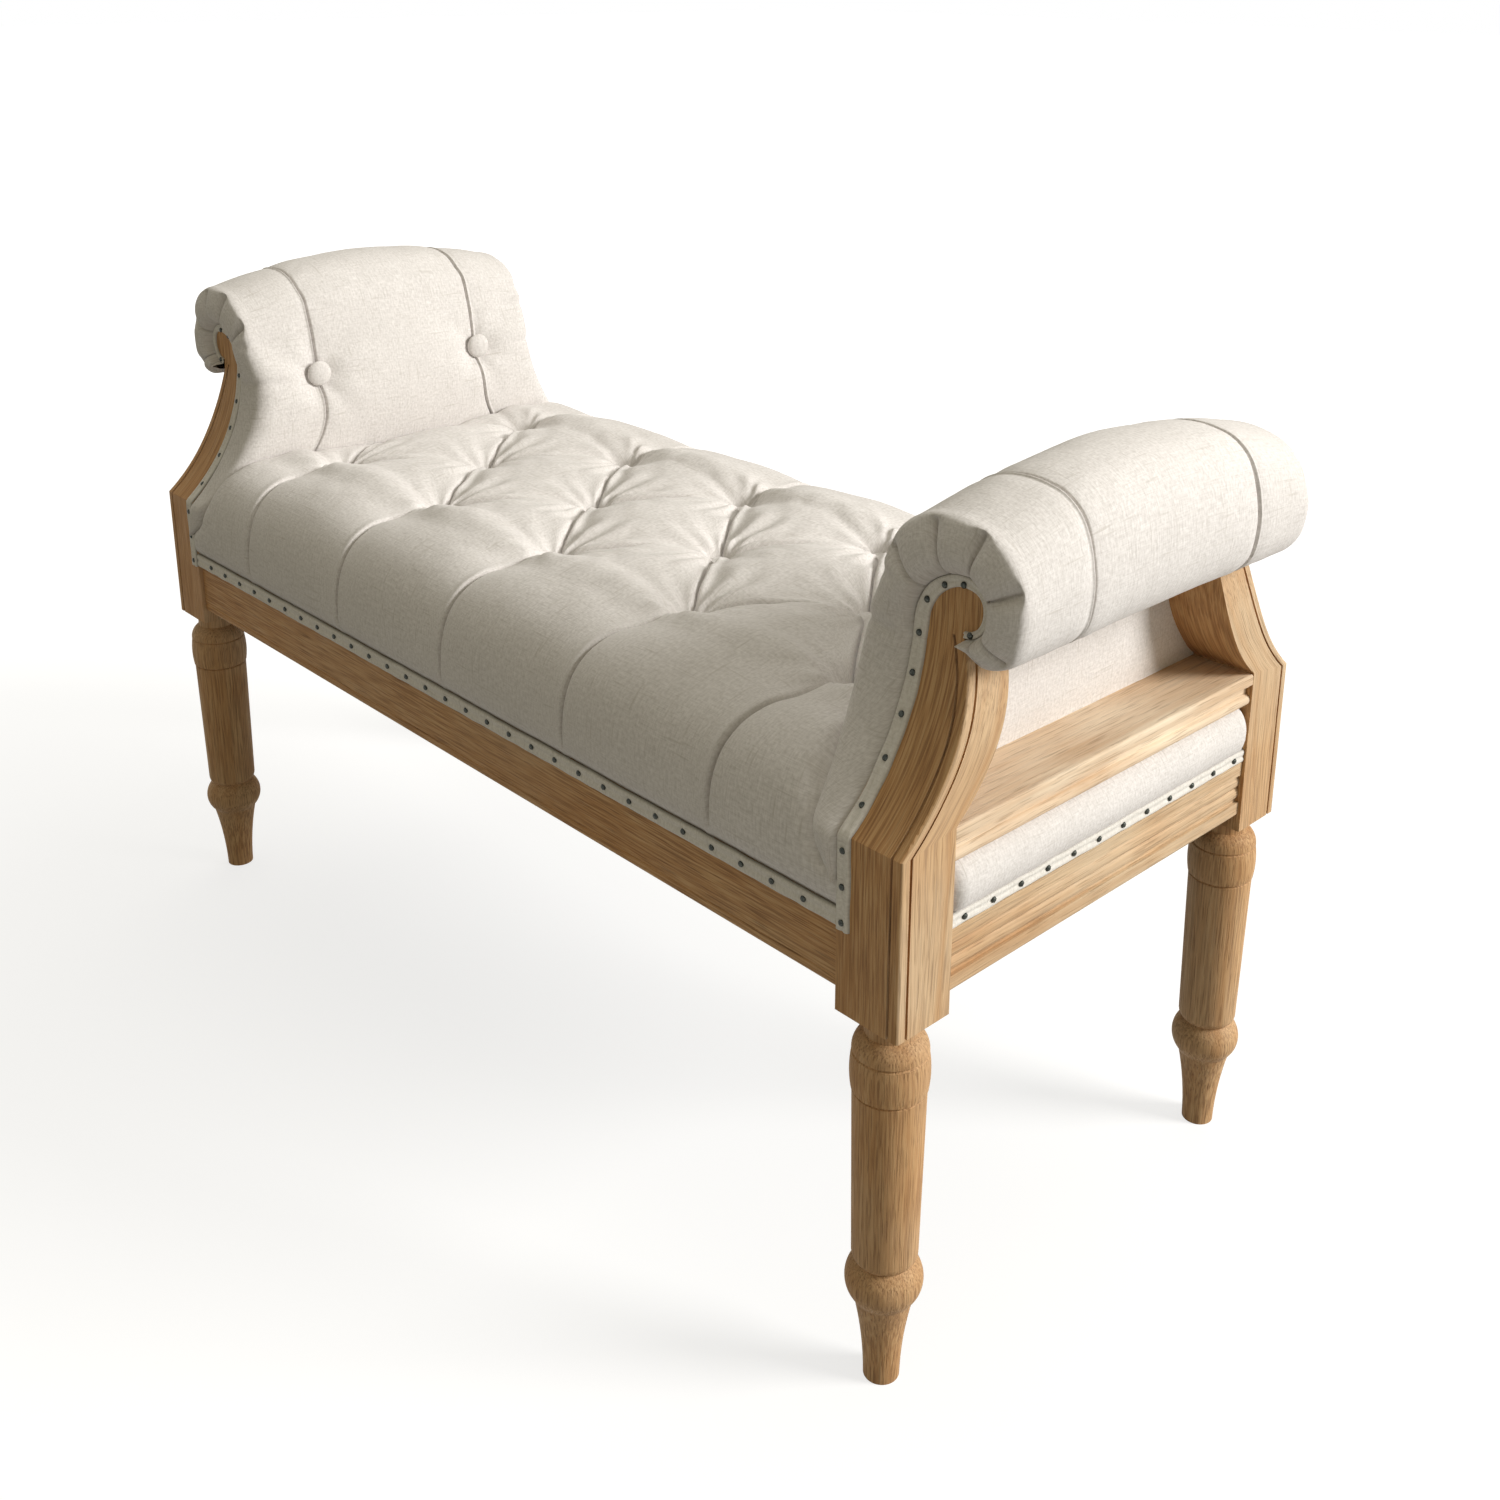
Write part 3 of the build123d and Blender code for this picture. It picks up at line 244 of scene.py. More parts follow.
def weathered_oak(name, along, shift, lime_and_side_light, followed=False, pale=oak_limed):
    """Oak with lime rubbed in, its grain along one axis or on a piece's own grain attribute, and on such
    a piece painted side light that scales the lime.
    """
    made, tree, shader = new_material(name)
    if followed:
        place = add_node(tree, "ShaderNodeAttribute", {"attribute_name": "grain"}).outputs["Vector"]
    else:
        place = add_node(tree, "ShaderNodeTexCoord").outputs["Object"]
    way = "xyz".index(along)
    long_grain = list(no_stretch)
    long_grain[way] = grain_stretch
    short_grain = list(no_stretch)
    short_grain[way] = pore_stretch
    bands = stretched_noise(tree, place, long_grain, 60.0, 4.0, shift, 0.5)
    streaks = stretched_noise(tree, place, long_grain, 560.0, 4.0, shift)
    pores = stretched_noise(tree, place, short_grain, 900.0, 2.0, shift)
    weather = stretched_noise(tree, place, no_stretch, 6.0, 4.0, shift)
    blush = stretched_noise(tree, place, no_stretch, 3.1, 2.0, shift)
    colour = colour_steps(tree, bands, [(0.2, oak_dark), (0.5, oak_middle), (0.8, oak_light)])
    fine = colour_steps(tree, streaks, [(0.39, oak_dark), (0.5, oak_middle), (0.61, oak_light)])
    colour = mix_colours(tree, 0.68, colour, fine)
    colour = mix_colours(tree, value_range(tree, blush, 0.4, 0.65, 0.0, 0.4), colour, oak_middle)
    limed = value_range(tree, weather, 0.38, 0.68, 0.6 * lime_and_side_light**2, lime_and_side_light)
    if followed:
        # Painted light: the lime is scaled by which way a face turns, so side faces come out paler and
        # front faces browner.
        painted_side_light = add_node(tree, "ShaderNodeAttribute", {"attribute_name": "lime_and_side_light"}).outputs["Fac"]
        limed = sum_of(tree, "MULTIPLY", limed, painted_side_light)
    colour = mix_colours(tree, limed, colour, pale)
    growth = value_range(tree, bands, 0.32, 0.52, 0.5, 0.0)
    colour = mix_colours(tree, growth, colour, oak_middle)
    open_pore = value_range(tree, pores, 0.55, 0.66, 0.0, 0.6 - 0.3 * lime_and_side_light)
    colour = mix_colours(tree, open_pore, colour, oak_pore)
    tree.links.new(colour, shader.inputs["Base Color"])
    tree.links.new(value_range(tree, streaks, 0.3, 0.7, 0.74, 0.56), shader.inputs["Roughness"])
    shader.inputs["Specular IOR Level"].default_value = 0.25
    relief = sum_of(tree, "SUBTRACT", streaks, sum_of(tree, "MULTIPLY", open_pore, 0.7))
    surface_bump(tree, shader, relief, 0.0008, 0.5)
    return made


def finish_node(node, material):
    """A CAD piece that keeps its own shape, with its material."""
    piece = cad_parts[node]
    piece.data.materials.clear()
    piece.data.materials.append(material)


corners = ("front_right", "front_left", "rear_right", "rear_left")
for turn, corner in enumerate(corners):
    grain_shift = (0.37 * turn, 0.21 * turn, 0.9 * turn)
    finish_node("leg_" + corner, weathered_oak("oak_leg_" + corner, "z", grain_shift, leg_lime))


# Corner posts: four swept oak boards with a bead worked on the outer corner.
# They stand on the legs, and the arms are built between their rounded heads.
rail_setback = 0.004
block_front = -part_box("front_rail")[0].y + rail_setback
head_front = -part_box("arm_scroll_rail_right")[0].y
fold_height = 0.480
sweep_top = 0.640
edge_easing = 0.0007
post_lime = 0.7
weld_distance = 0.00002
flat_angle = math.radians(0.5)
sharp_angle = math.radians(35.0)


def post_front(z):
    """How far the front of a post stands from the middle of the bench at a height."""
    if z <= fold_height:
        return block_front
    if z >= sweep_top:
        return head_front
    setback = block_front - head_front
    radius = (setback**2 + (sweep_top - fold_height) ** 2) / (2.0 * setback)
    return head_front + radius - math.sqrt(radius**2 - (sweep_top - z) ** 2)


def new_piece(name, shape, material):
    """A finished shape as an object at the origin, riding on the bench."""
    mesh = bpy.data.meshes.new(name)
    shape.to_mesh(mesh)
    shape.free()
    mesh.materials.append(material)
    mesh.shade_smooth()
    piece = bpy.data.objects.new(name, mesh)
    scene.collection.objects.link(piece)
    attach(piece, "root")
    return piece


def eased_oak(node, material):
    """A CAD piece with its edges eased as by hand, grain that follows a swept face, and painted side
    light by the way each face turns.
    """
    shape = bmesh.new()
    shape.from_mesh(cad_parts[node].data)
    bmesh.ops.remove_doubles(shape, verts=shape.verts, dist=weld_distance)
    bmesh.ops.dissolve_limit(shape, angle_limit=flat_angle, verts=shape.verts, edges=shape.edges)
    sharp = []
    for edge in shape.edges:
        if edge.is_manifold and edge.calc_face_angle(0.0) > sharp_angle:
            sharp.append(edge)
    bmesh.ops.bevel(
        shape,
        geom=sharp,
        offset=edge_easing,
        segments=2,
        profile=0.5,
        affect="EDGES",
        material=-1,
        clamp_overlap=True,
    )
    shape.normal_update()
    grain = shape.verts.layers.float_vector.new("grain")
    lime_and_side_light = shape.verts.layers.float.new("lime_and_side_light")
    for vert in shape.verts:
        vert[grain] = Vector((vert.co.x, abs(vert.co.y) - post_front(vert.co.z), vert.co.z))
        # Painted light: faces turned to the ends get more lime than faces turned to the front, as if lit
        # from the side.
        vert[lime_and_side_light] = min(1.0, max(0.15, 2.0 * abs(vert.normal.x) - 0.7))
    piece = new_piece("eased_" + node, shape, material)
    piece.modifiers.new("flat_faces", "WEIGHTED_NORMAL")
    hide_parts(node)


for turn, corner in enumerate(corners):
    grain_shift = (1.3 + 0.29 * turn, 0.4 + 0.33 * turn, 0.7 * turn)
    eased_oak("post_" + corner, weathered_oak("oak_post_" + corner, "z", grain_shift, post_lime, True))


# Rails and ledges: two long rails, two end rails with reeds, and a moulded ledge over each end.
# They are oak boards, screwed to the posts through the corner blocks.
ledge_pale_and_light = (0.86, 0.74, 0.57, 1.0)
# Partly painted light: the end rails face the lamp and take much lime, so they come out pale. The front
# and rear rails face away and take little, so they stay a richer brown.
rail_lime_and_shade = 0.2
end_rail_lime_and_light = 0.8
ledge_lime_and_light = 0.9
scroll_lime = 0.2
sides = ("front", "rear")
ends = ("right", "left")
for turn, side in enumerate(sides):
    oak = weathered_oak("oak_rail_" + side, "x", (0.5 * turn, 2.0, 0.3), rail_lime_and_shade)
    eased_oak(side + "_rail", oak)
for turn, end in enumerate(ends):
    oak = weathered_oak("oak_end_rail_" + end, "y", (0.8, 0.6 * turn, 1.7), end_rail_lime_and_light)
    eased_oak("end_rail_" + end, oak)
    shift = (2.2, 0.4 * turn, 0.9)
    # Partly painted light: the ledges take a paler lime colour and more of it, which brightens their
    # tops as if lit from above.
    oak = weathered_oak("oak_ledge_" + end, "y", shift, ledge_lime_and_light, pale=ledge_pale_and_light)
    eased_oak("ledge_" + end, oak)
    oak = weathered_oak("oak_scroll_" + end, "z", (1.1, 0.5, turn), scroll_lime)
    finish_node("arm_scroll_rail_" + end, oak)


# Frame inside the arms and the seat: pine blocks in the corners, pine rails and boards in the
# arms, and a plywood deck. None of it shows once the bench is covered.
pine_pale = (0.62, 0.46, 0.27, 1.0)
pine_ring = (0.47, 0.30, 0.14, 1.0)
ring_stretch = 0.04


def plain_pine(name, along):
    """Planed pine with soft rings along one axis."""
    made, tree, shader = new_material(name)
    place = add_node(tree, "ShaderNodeTexCoord").outputs["Object"]
    stretch = list(no_stretch)
    stretch["xyz".index(along)] = ring_stretch
    rings = stretched_noise(tree, place, stretch, 60.0, 3.0)
    colour = colour_steps(tree, rings, [(0.4, pine_pale), (0.6, pine_ring)])
    tree.links.new(colour, shader.inputs["Base Color"])
    tree.links.new(value_range(tree, rings, 0.3, 0.7, 0.6, 0.75), shader.inputs["Roughness"])
    surface_bump(tree, shader, rings, 0.0005, 0.3)
    return made


pine_deep = plain_pine("pine_deep", "y")
pine_upright = plain_pine("pine_upright", "z")
for end in ends:
    finish_node("arm_top_rail_" + end, pine_deep)
    finish_node("arm_board_" + end, pine_deep)
for corner in corners:
    finish_node("corner_block_" + corner, pine_upright)
finish_node("seat_deck", plain_pine("plywood_deck", "x"))


# Fixings: zinc bolts and threaded sleeves for the legs, and screws through the corner blocks.
# The seat's twines pass through the deck to steel washers under it.
zinc_dull = (0.42, 0.43, 0.44, 1.0)
zinc_bright = (0.62, 0.62, 0.60, 1.0)


def clouded_metal(name, scale, steps, rough, metallic):
    """Metal with a faint cloud: its scale, its colour steps and the roughness it runs between."""
    made, tree, shader = new_material(name)
    place = add_node(tree, "ShaderNodeTexCoord").outputs["Object"]
    cloud = stretched_noise(tree, place, no_stretch, scale, 3.0)
    tree.links.new(colour_steps(tree, cloud, steps), shader.inputs["Base Color"])
    tree.links.new(value_range(tree, cloud, 0.3, 0.7, *rough), shader.inputs["Roughness"])
    shader.inputs["Metallic"].default_value = metallic
    return made


zinc_steps = [(0.35, zinc_dull), (0.65, zinc_bright)]
zinc = clouded_metal("zinc_plate", 220.0, zinc_steps, (0.28, 0.45), 1.0)
for node in ("leg_bolts", "leg_inserts", "block_screws", "twine_washers"):
    finish_node(node, zinc)


# Filling and lining: a foam slab on the deck, waxed twines that draw the buttons down,
# and a thin black cloth stapled under the rails.
foam_tones = ((0.6, 0.52, 0.3, 1.0), (0.75, 0.67, 0.45, 1.0))
twine_tones = ((0.35, 0.27, 0.16, 1.0), (0.5, 0.4, 0.26, 1.0))
lining_tones = ((0.012, 0.012, 0.013, 1.0), (0.03, 0.03, 0.032, 1.0))


def speckled(name, tones, scale, rough, relief):
    """A fine two-tone grain, as in foam, twine and lining cloth."""
    made, tree, shader = new_material(name)
    place = add_node(tree, "ShaderNodeTexCoord").outputs["Object"]
    grain = stretched_noise(tree, place, no_stretch, scale, 3.0)
    colour = colour_steps(tree, grain, [(0.35, tones[0]), (0.65, tones[1])])
    tree.links.new(colour, shader.inputs["Base Color"])
    shader.inputs["Roughness"].default_value = rough
    surface_bump(tree, shader, grain, relief, 0.4)
    return made


finish_node("seat_foam", speckled("cut_foam", foam_tones, 900.0, 0.95, 0.0006))
finish_node("seat_twines", speckled("waxed_twine", twine_tones, 1500.0, 0.6, 0.0003))
lining = speckled("lining_cloth", lining_tones, 1100.0, 0.9, 0.0004)
lining_low, lining_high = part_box("dust_cover")
lining_sag = 0.004
lining_ripple = 0.0006
lining_columns = 44
lining_rows = 20
notch_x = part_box("front_rail")[1].x
notch_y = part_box("end_rail_right")[1].y
lining_shape = bmesh.new()
bmesh.ops.create_grid(lining_shape, x_segments=lining_columns, y_segments=lining_rows, size=1.0)
bmesh.ops.scale(lining_shape, vec=(lining_high.x, lining_high.y, 1.0), verts=lining_shape.verts)
for cut, way in ((notch_x, (1, 0, 0)), (notch_y, (0, 1, 0))):
    for sign in (-1.0, 1.0):
        everything = lining_shape.verts[:] + lining_shape.edges[:] + lining_shape.faces[:]
        bmesh.ops.bisect_plane(
            lining_shape, geom=everything, dist=1e-6, plane_co=Vector(way) * sign * cut, plane_no=way
        )
at_corners = []
for face in lining_shape.faces:
    middle = face.calc_center_median()
    if abs(middle.x) > notch_x and abs(middle.y) > notch_y:
        at_corners.append(face)
bmesh.ops.delete(lining_shape, geom=at_corners, context="FACES")
for vert in lining_shape.verts:
    slack_x = 1.0 - (vert.co.x / lining_high.x) ** 2
    slack_y = 1.0 - (vert.co.y / lining_high.y) ** 2
    ripple = lining_ripple * noise.noise(Vector((vert.co.x * 14.0, vert.co.y * 14.0, 0.5)))
    vert.co.z = lining_low.z - (lining_sag + ripple) * slack_x * slack_y
bmesh.ops.reverse_faces(lining_shape, faces=lining_shape.faces)
under_cover = new_piece("lining_under_seat", lining_shape, lining)
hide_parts("dust_cover")


# Seat cushion: one piece of ivory linen over the foam, drawn down at five, four and five buttons.
# The slack between the buttons is laid in diamond folds, and straight folds run to the rails.
linen_light = (0.83, 0.80, 0.785, 1.0)
linen_shade = (0.61, 0.58, 0.558, 1.0)
linen_fleck = (0.54, 0.505, 0.465, 1.0)
painted_edge_shade = (0.085, 0.075, 0.06, 1.0)


def ivory_linen(name, light, shade, edged=False):
    """Plain woven linen on a UV map in metres: uneven threads both ways and a few slubs, and when edged,
    painted shade along a tape's edges.
    """
    made, tree, shader = new_material(name)
    place = add_node(tree, "ShaderNodeTexCoord").outputs["UV"]
    warp = stretched_noise(tree, place, (1300.0, 70.0, 1.0), 1.0, 2.0)
    weft = stretched_noise(tree, place, (70.0, 1300.0, 1.0), 1.0, 2.0, (3.1, 7.7, 0.0))
    slub_warp = stretched_noise(tree, place, (420.0, 28.0, 1.0), 1.0, 1.0, (11.0, 2.0, 0.0))
    slub_weft = stretched_noise(tree, place, (28.0, 420.0, 1.0), 1.0, 1.0, (5.0, 19.0, 0.0))
    broad = stretched_noise(tree, place, (9.0, 9.0, 1.0), 1.0, 3.0)
    nap = stretched_noise(tree, place, (430.0, 330.0, 1.0), 1.0, 2.0, (1.0, 4.0, 0.0))
    fine = sum_of(tree, "MULTIPLY", sum_of(tree, "ADD", warp, weft), 0.5)
    soft_nap = sum_of(tree, "MULTIPLY", nap, 0.45)
    threads = sum_of(tree, "ADD", sum_of(tree, "MULTIPLY", fine, 0.55), soft_nap)
    colour = colour_steps(tree, threads, [(0.36, shade), (0.62, light)])
    colour = mix_colours(tree, value_range(tree, broad, 0.35, 0.7, 0.0, 0.22), colour, shade)
    flecks = sum_of(tree, "MAXIMUM", slub_warp, slub_weft)
    fleck = value_range(tree, flecks, 0.64, 0.76, 0.0, 0.5)
    colour = mix_colours(tree, fleck, colour, linen_fleck)
    # Painted shade: an attribute darkens the edges of a tape, standing in for the shade in the crevices
    # beside it.
    if edged:
        edge_shade = add_node(tree, "ShaderNodeAttribute", {"attribute_name": "edge_shade"}).outputs["Fac"]
        colour = mix_colours(tree, edge_shade, colour, painted_edge_shade)
    tree.links.new(colour, shader.inputs["Base Color"])
    shader.inputs["Roughness"].default_value = 0.92
    shader.inputs["Specular IOR Level"].default_value = 0.15
    shader.inputs["Sheen Weight"].default_value = 0.12
    shader.inputs["Sheen Roughness"].default_value = 0.5
    relief = sum_of(tree, "ADD", threads, sum_of(tree, "MULTIPLY", flecks, 0.5))
    surface_bump(tree, shader, relief, 0.0007, 0.55)
    return made


def lay_weave(shape, flat_place):
    """A UV map in metres, from the flat place of each vertex."""
    weave = shape.loops.layers.uv.new("weave")
    for face in shape.faces:
        for loop in face.loops:
            loop[weave].uv = flat_place[loop.vert.index]


def ease(value):
    """A smooth step from 0 to 1."""
    held = min(1.0, max(0.0, value))
    return held * held * (3.0 - 2.0 * held)


def on_line(points, share):
    """A point at a share of the way along a smooth line through a few points."""
    spans = [(after - before).length for before, after in zip(points, points[1:])]
    left = share * sum(spans)
    span = 0
    while span < len(spans) - 1 and left > spans[span]:
        left -= spans[span]
        span += 1
    t = left / spans[span]
    start = points[span]
    end = points[span + 1]
    before = points[max(span - 1, 0)]
    after = points[min(span + 2, len(points) - 1)]
    return 0.5 * (
        2.0 * start
        + (end - before) * t
        + (2.0 * before - 5.0 * start + 4.0 * end - after) * t**2
        + (3.0 * start - before - 3.0 * end + after) * t**3
    )


def hump(way, place, width):
    """A smooth bump of height 1 at a place, with a width."""
    return math.exp(-(((way - place) / width) ** 2))


def dome(gap):
    """How full the padding is beside a pleat: 0 in the pleat, 1 half way to the next one."""
    return (1.0 - (1.0 - 2.0 * min(gap, 0.5)) ** 2.2) ** 0.85


def pleat_line(way):
    """The narrow line of a pleat, and the rolled edge of the side that lies on top of it."""
    line = 0.0085 * hump(way, 0.0, 0.0010)
    edge = 0.0027 * hump(way, 0.0045, 0.0026)
    hollow = 0.0018 * hump(way, 0.0125, 0.0050)
    return edge - line - hollow


def slit(way):
    """The narrow line of a pleat whose two sides lie level."""
    return 0.0006 * hump(way, 0.0, 0.005) - 0.0125 * hump(way, 0.0, 0.0011)


def crowd(value):
    """Moves a place towards the nearest fold, which lies half way between whole numbers."""
    return value + crowding / (2.0 * math.pi) * math.sin(2.0 * math.pi * value)


def beside_fold(value):
    """The signed way from the nearest fold."""
    return value - math.floor(value) - 0.5


def lap(way):
    """How far the upper side of a fold reaches over its lower side."""
    return -0.011 * math.exp(-way / 0.02) if way > fold_clearance else 0.0


def points_on(*places):
    """The points of a line in a plane."""
    return [Vector(place) for place in places]


fold_clearance = 1e-6
fold_width = 1e-4
crowding = 0.62
tuft_pitch = 0.2
row_pitch = 0.125
pleat_pitch = tuft_pitch * row_pitch / math.hypot(tuft_pitch / 2.0, row_pitch)
tuft_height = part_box("seat_buttons")[0].z - 0.001
pit_radius = 0.010
pleat_rise = 0.0225
puff_rise = 0.034
rib_depth = 0.0088
rib_reach = 0.046
rib_start = 0.014
front_swell = 0.0065
tuft_steps = 22
front_steps = 34
seat_reach = 0.5
seat_up = Vector((0.0, 0.0, 1.0))
seat_columns = round(2.0 * seat_reach * 2.0 * tuft_steps / tuft_pitch)
seat_rows = 2 * (tuft_steps + front_steps)
seat_depth = (tuft_steps + front_steps) * row_pitch / tuft_steps
front_line = points_on(
    (0.125, tuft_height + puff_rise),
    (0.150, tuft_height + puff_rise + 0.006),
    (0.178, 0.5345),
    (0.206, 0.5300),
    (0.231, 0.5185),
    (0.2490, 0.4990),
    (0.2580, 0.4740),
    (0.2605, 0.4490),
    (0.2595, 0.4325),
    (0.2560, 0.4240),
    (0.2500, 0.4195),
    (0.2485, 0.4100),
)
arm_foot = points_on(
    (0.5125, 0.4445),
    (0.4995, 0.4535),
    (0.4905, 0.4645),
    (0.4835, 0.4820),
    (0.4745, 0.5060),
    (0.4640, 0.5420),
    (0.4590, 0.5850),
)


def arm_reach(z):
    """How far from the middle of the bench the foot of an arm begins at a height."""
    if z <= arm_foot[0].y:
        return arm_foot[0].x
    for lower, upper in zip(arm_foot, arm_foot[1:]):
        if z <= upper.y:
            return lower.x + (upper.x - lower.x) * (z - lower.y) / (upper.y - lower.y)
    return arm_foot[-1].x


def nearest_tuft(x, w):
    """The way from the nearest button, in the flat of the cloth."""
    best = Vector((1.0, 1.0))
    for row, shift in ((-row_pitch, 0.0), (0.0, 0.5), (row_pitch, 0.0)):
        column = round(x / tuft_pitch - shift) + shift
        if abs(column) <= 2.0:
            gap = Vector((x - column * tuft_pitch, w - row))
            if gap.length < best.length:
                best = gap
    return best


def tuft_ribs(tuft):
    """Small ribs that fan out from a button between its pleats."""
    spoke = math.atan2(tuft.y / row_pitch, tuft.x / (tuft_pitch / 2.0)) / (math.pi / 2.0) - 0.5
    sector = math.floor(spoke)
    fan = spoke - sector
    strength = 1.0 if sector % 2 == 0 else 0.45
    reach = math.exp(-tuft.length / rib_reach) * (1.0 - hump(tuft.length, 0.0, rib_start))
    drift = 0.9 * math.sin(math.pi * fan) * noise.noise(Vector((tuft.x * 21.0, tuft.y * 21.0, 0.6)))
    return rib_depth * strength * reach * math.sin(2.0 * math.pi * (3.0 * fan + drift))


def on_top(x, w):
    """A point of the flat cloth between the outer rows of buttons, where folds cross in diamonds."""
    p = crowd(x / tuft_pitch + w / (2.0 * row_pitch))
    q = crowd(x / tuft_pitch - w / (2.0 * row_pitch))
    side_p = beside_fold(p)
    side_q = beside_fold(q)
    full_p = dome(abs(side_p))
    full_q = dome(abs(side_q))
    rise = pleat_rise * (full_p + full_q - 2.0 * full_p * full_q) + puff_rise * full_p * full_q
    near_p = ease((full_q - 0.1) / 0.4)
    near_q = ease((full_p - 0.1) / 0.4)
    rise += pleat_line(side_p * pleat_pitch) * near_p
    rise += 0.9 * pleat_line(-side_q * pleat_pitch) * near_q
    p += lap(side_p) * near_p
    q -= 0.8 * lap(-side_q) * near_q
    place = (tuft_pitch * (p + q) / 2.0, row_pitch * (p - q))
    held = min(abs(side_p), abs(side_q)) < fold_width
    return place, Vector((*place, tuft_height)), seat_up, rise, held


def on_front(x, side, share):
    """A point of the flat cloth on its way down to a rail, with straight folds between."""
    column = crowd(x / tuft_pitch - 0.5)
    gap = beside_fold(column)
    full = dome(abs(gap))
    swell = (puff_rise - front_swell) * (1.0 - share) ** 5 + front_swell * (1.0 - share) ** 0.9
    over = pleat_rise * (1.0 - share) ** 5 * 2.0 * full * (1.0 - full)
    rise = swell * full * (full * (1.0 - share) + share) + over
    lined = ease((share - 0.1) / 0.3) * (1.0 - 0.3 * share) * ease((0.93 - share) / 0.12)
    rise += 1.1 * slit(gap * tuft_pitch) * lined
    rise += 0.0010 * hump(-gap * tuft_pitch, 0.0055, 0.0035) * ease(share / 0.06)
    x = tuft_pitch * (column + 0.5)
    outer = seat_reach + 0.0125 * ease((share - 0.45) / 0.3) + 0.004 * ease((share - 0.8) / 0.04)
    last = 2.0 * tuft_pitch
    drawn = last * (1.0 - 0.0625 * ease(share * 1.3))
    if abs(x) <= last:
        x = x * drawn / last
    else:
        reach = drawn + (abs(x) - last) / (seat_reach - last) * (outer - drawn)
        x = math.copysign(reach, x)
    here = on_line(front_line, share)
    ahead = on_line(front_line, min(1.0, share + 0.01)) - on_line(front_line, share - 0.01)
    ahead.normalize()
    out = Vector((0.0, -side * ahead.y, ahead.x)).lerp(seat_up, 1.0 - ease(share / 0.14))
    out.normalize()
    place = Vector((x, side * here.x, here.y)) - out * swell
    w = side * (row_pitch + share * (seat_depth - row_pitch))
    return (x, w), place, out, rise, abs(gap) < fold_width


def seat_place(flat_x, flat_w):
    """Where a point of the flat cloth lies on the seat, and whether a pleat holds it."""
    front = 0.0
    if abs(flat_w) <= row_pitch + fold_clearance:
        (x, w), place, out, rise, held = on_top(flat_x, flat_w)
    else:
        front = (abs(flat_w) - row_pitch) / (seat_depth - row_pitch)
        (x, w), place, out, rise, held = on_front(flat_x, math.copysign(1.0, flat_w), front)
    tuft = nearest_tuft(x, w)
    rise *= ease((tuft.length - 0.4 * pit_radius) / (1.3 * pit_radius))
    rise += tuft_ribs(tuft) * (1.0 - ease(front * 4.0))
    calm = ease(rise / 0.01)
    along = flat_x / tuft_pitch + flat_w / (2.0 * row_pitch)
    across = flat_x / tuft_pitch - flat_w / (2.0 * row_pitch)
    drag = noise.noise(Vector((along * 2.2, across * 8.0, 2.4)))
    drag += 0.5 * noise.noise(Vector((along * 4.0, across * 17.0, 6.4)))
    rise += 0.0034 * calm * drag * (1.0 - 0.85 * ease(front * 2.0))
    rise += 0.0018 * calm * noise.noise(Vector((x * 17.0, w * 17.0, 1.7)))
    rise += 0.0006 * calm * noise.noise(Vector((x * 60.0, w * 60.0, 4.1)))
    place += out * rise
    place.z -= 0.008 * ease((abs(x) - 0.39) / 0.08) * (1.0 - ease((front - 0.1) / 0.3))
    beyond = abs(x) - arm_reach(place.z) + 0.008
    sunk = 0.010 * ease(beyond / 0.010) ** 2 + 0.008 * ease((beyond - 0.009) / 0.010)
    place -= out * sunk * ease((place.z - 0.438) / 0.01)
    turned = ease((abs(x) - 0.505) / 0.007) * ease((0.450 - place.z) / 0.006)
    turned *= ease((place.z - 0.4195) / 0.003)
    place.y += turned * (math.copysign(block_front + 0.0007, w) - place.y)
    return place, held or tuft.length < 1.3 * pit_radius


cloth_frames = 15


def settle(piece, held, pressure, most):
    """Lets a cover swell between its folds and edges, as filled cloth does, and keeps that shape."""
    group = piece.vertex_groups.new(name="held")
    group.add(sorted(held), 1.0, "REPLACE")
    cloth = piece.modifiers.new("filled", "CLOTH")
    cloth.settings.quality = 5
    cloth.settings.mass = 0.3
    cloth.settings.tension_stiffness = 15.0
    cloth.settings.compression_stiffness = 15.0
    cloth.settings.shear_stiffness = 5.0
    cloth.settings.bending_stiffness = 0.5
    cloth.settings.vertex_group_mass = "held"
    cloth.settings.use_pressure = True
    cloth.settings.uniform_pressure_force = pressure
    cloth.settings.effector_weights.gravity = 0.0
    cloth.collision_settings.use_collision = False
    for step in range(cloth_frames):
        scene.frame_set(step + 1)
    swollen = piece.evaluated_get(bpy.context.evaluated_depsgraph_get()).data
    for vert, filled in zip(piece.data.vertices, swollen.vertices):
        move = filled.co - vert.co
        if move.length > most:
            move *= most / move.length
        vert.co += move
    piece.modifiers.remove(cloth)
    piece.vertex_groups.remove(group)
    scene.frame_set(1)


def smooth_cover(piece):
    """One finer level on a cover, the same on screen and in a picture."""
    fine = piece.modifiers.new("fine", "SUBSURF")
    fine.levels = 1
    fine.render_levels = 1


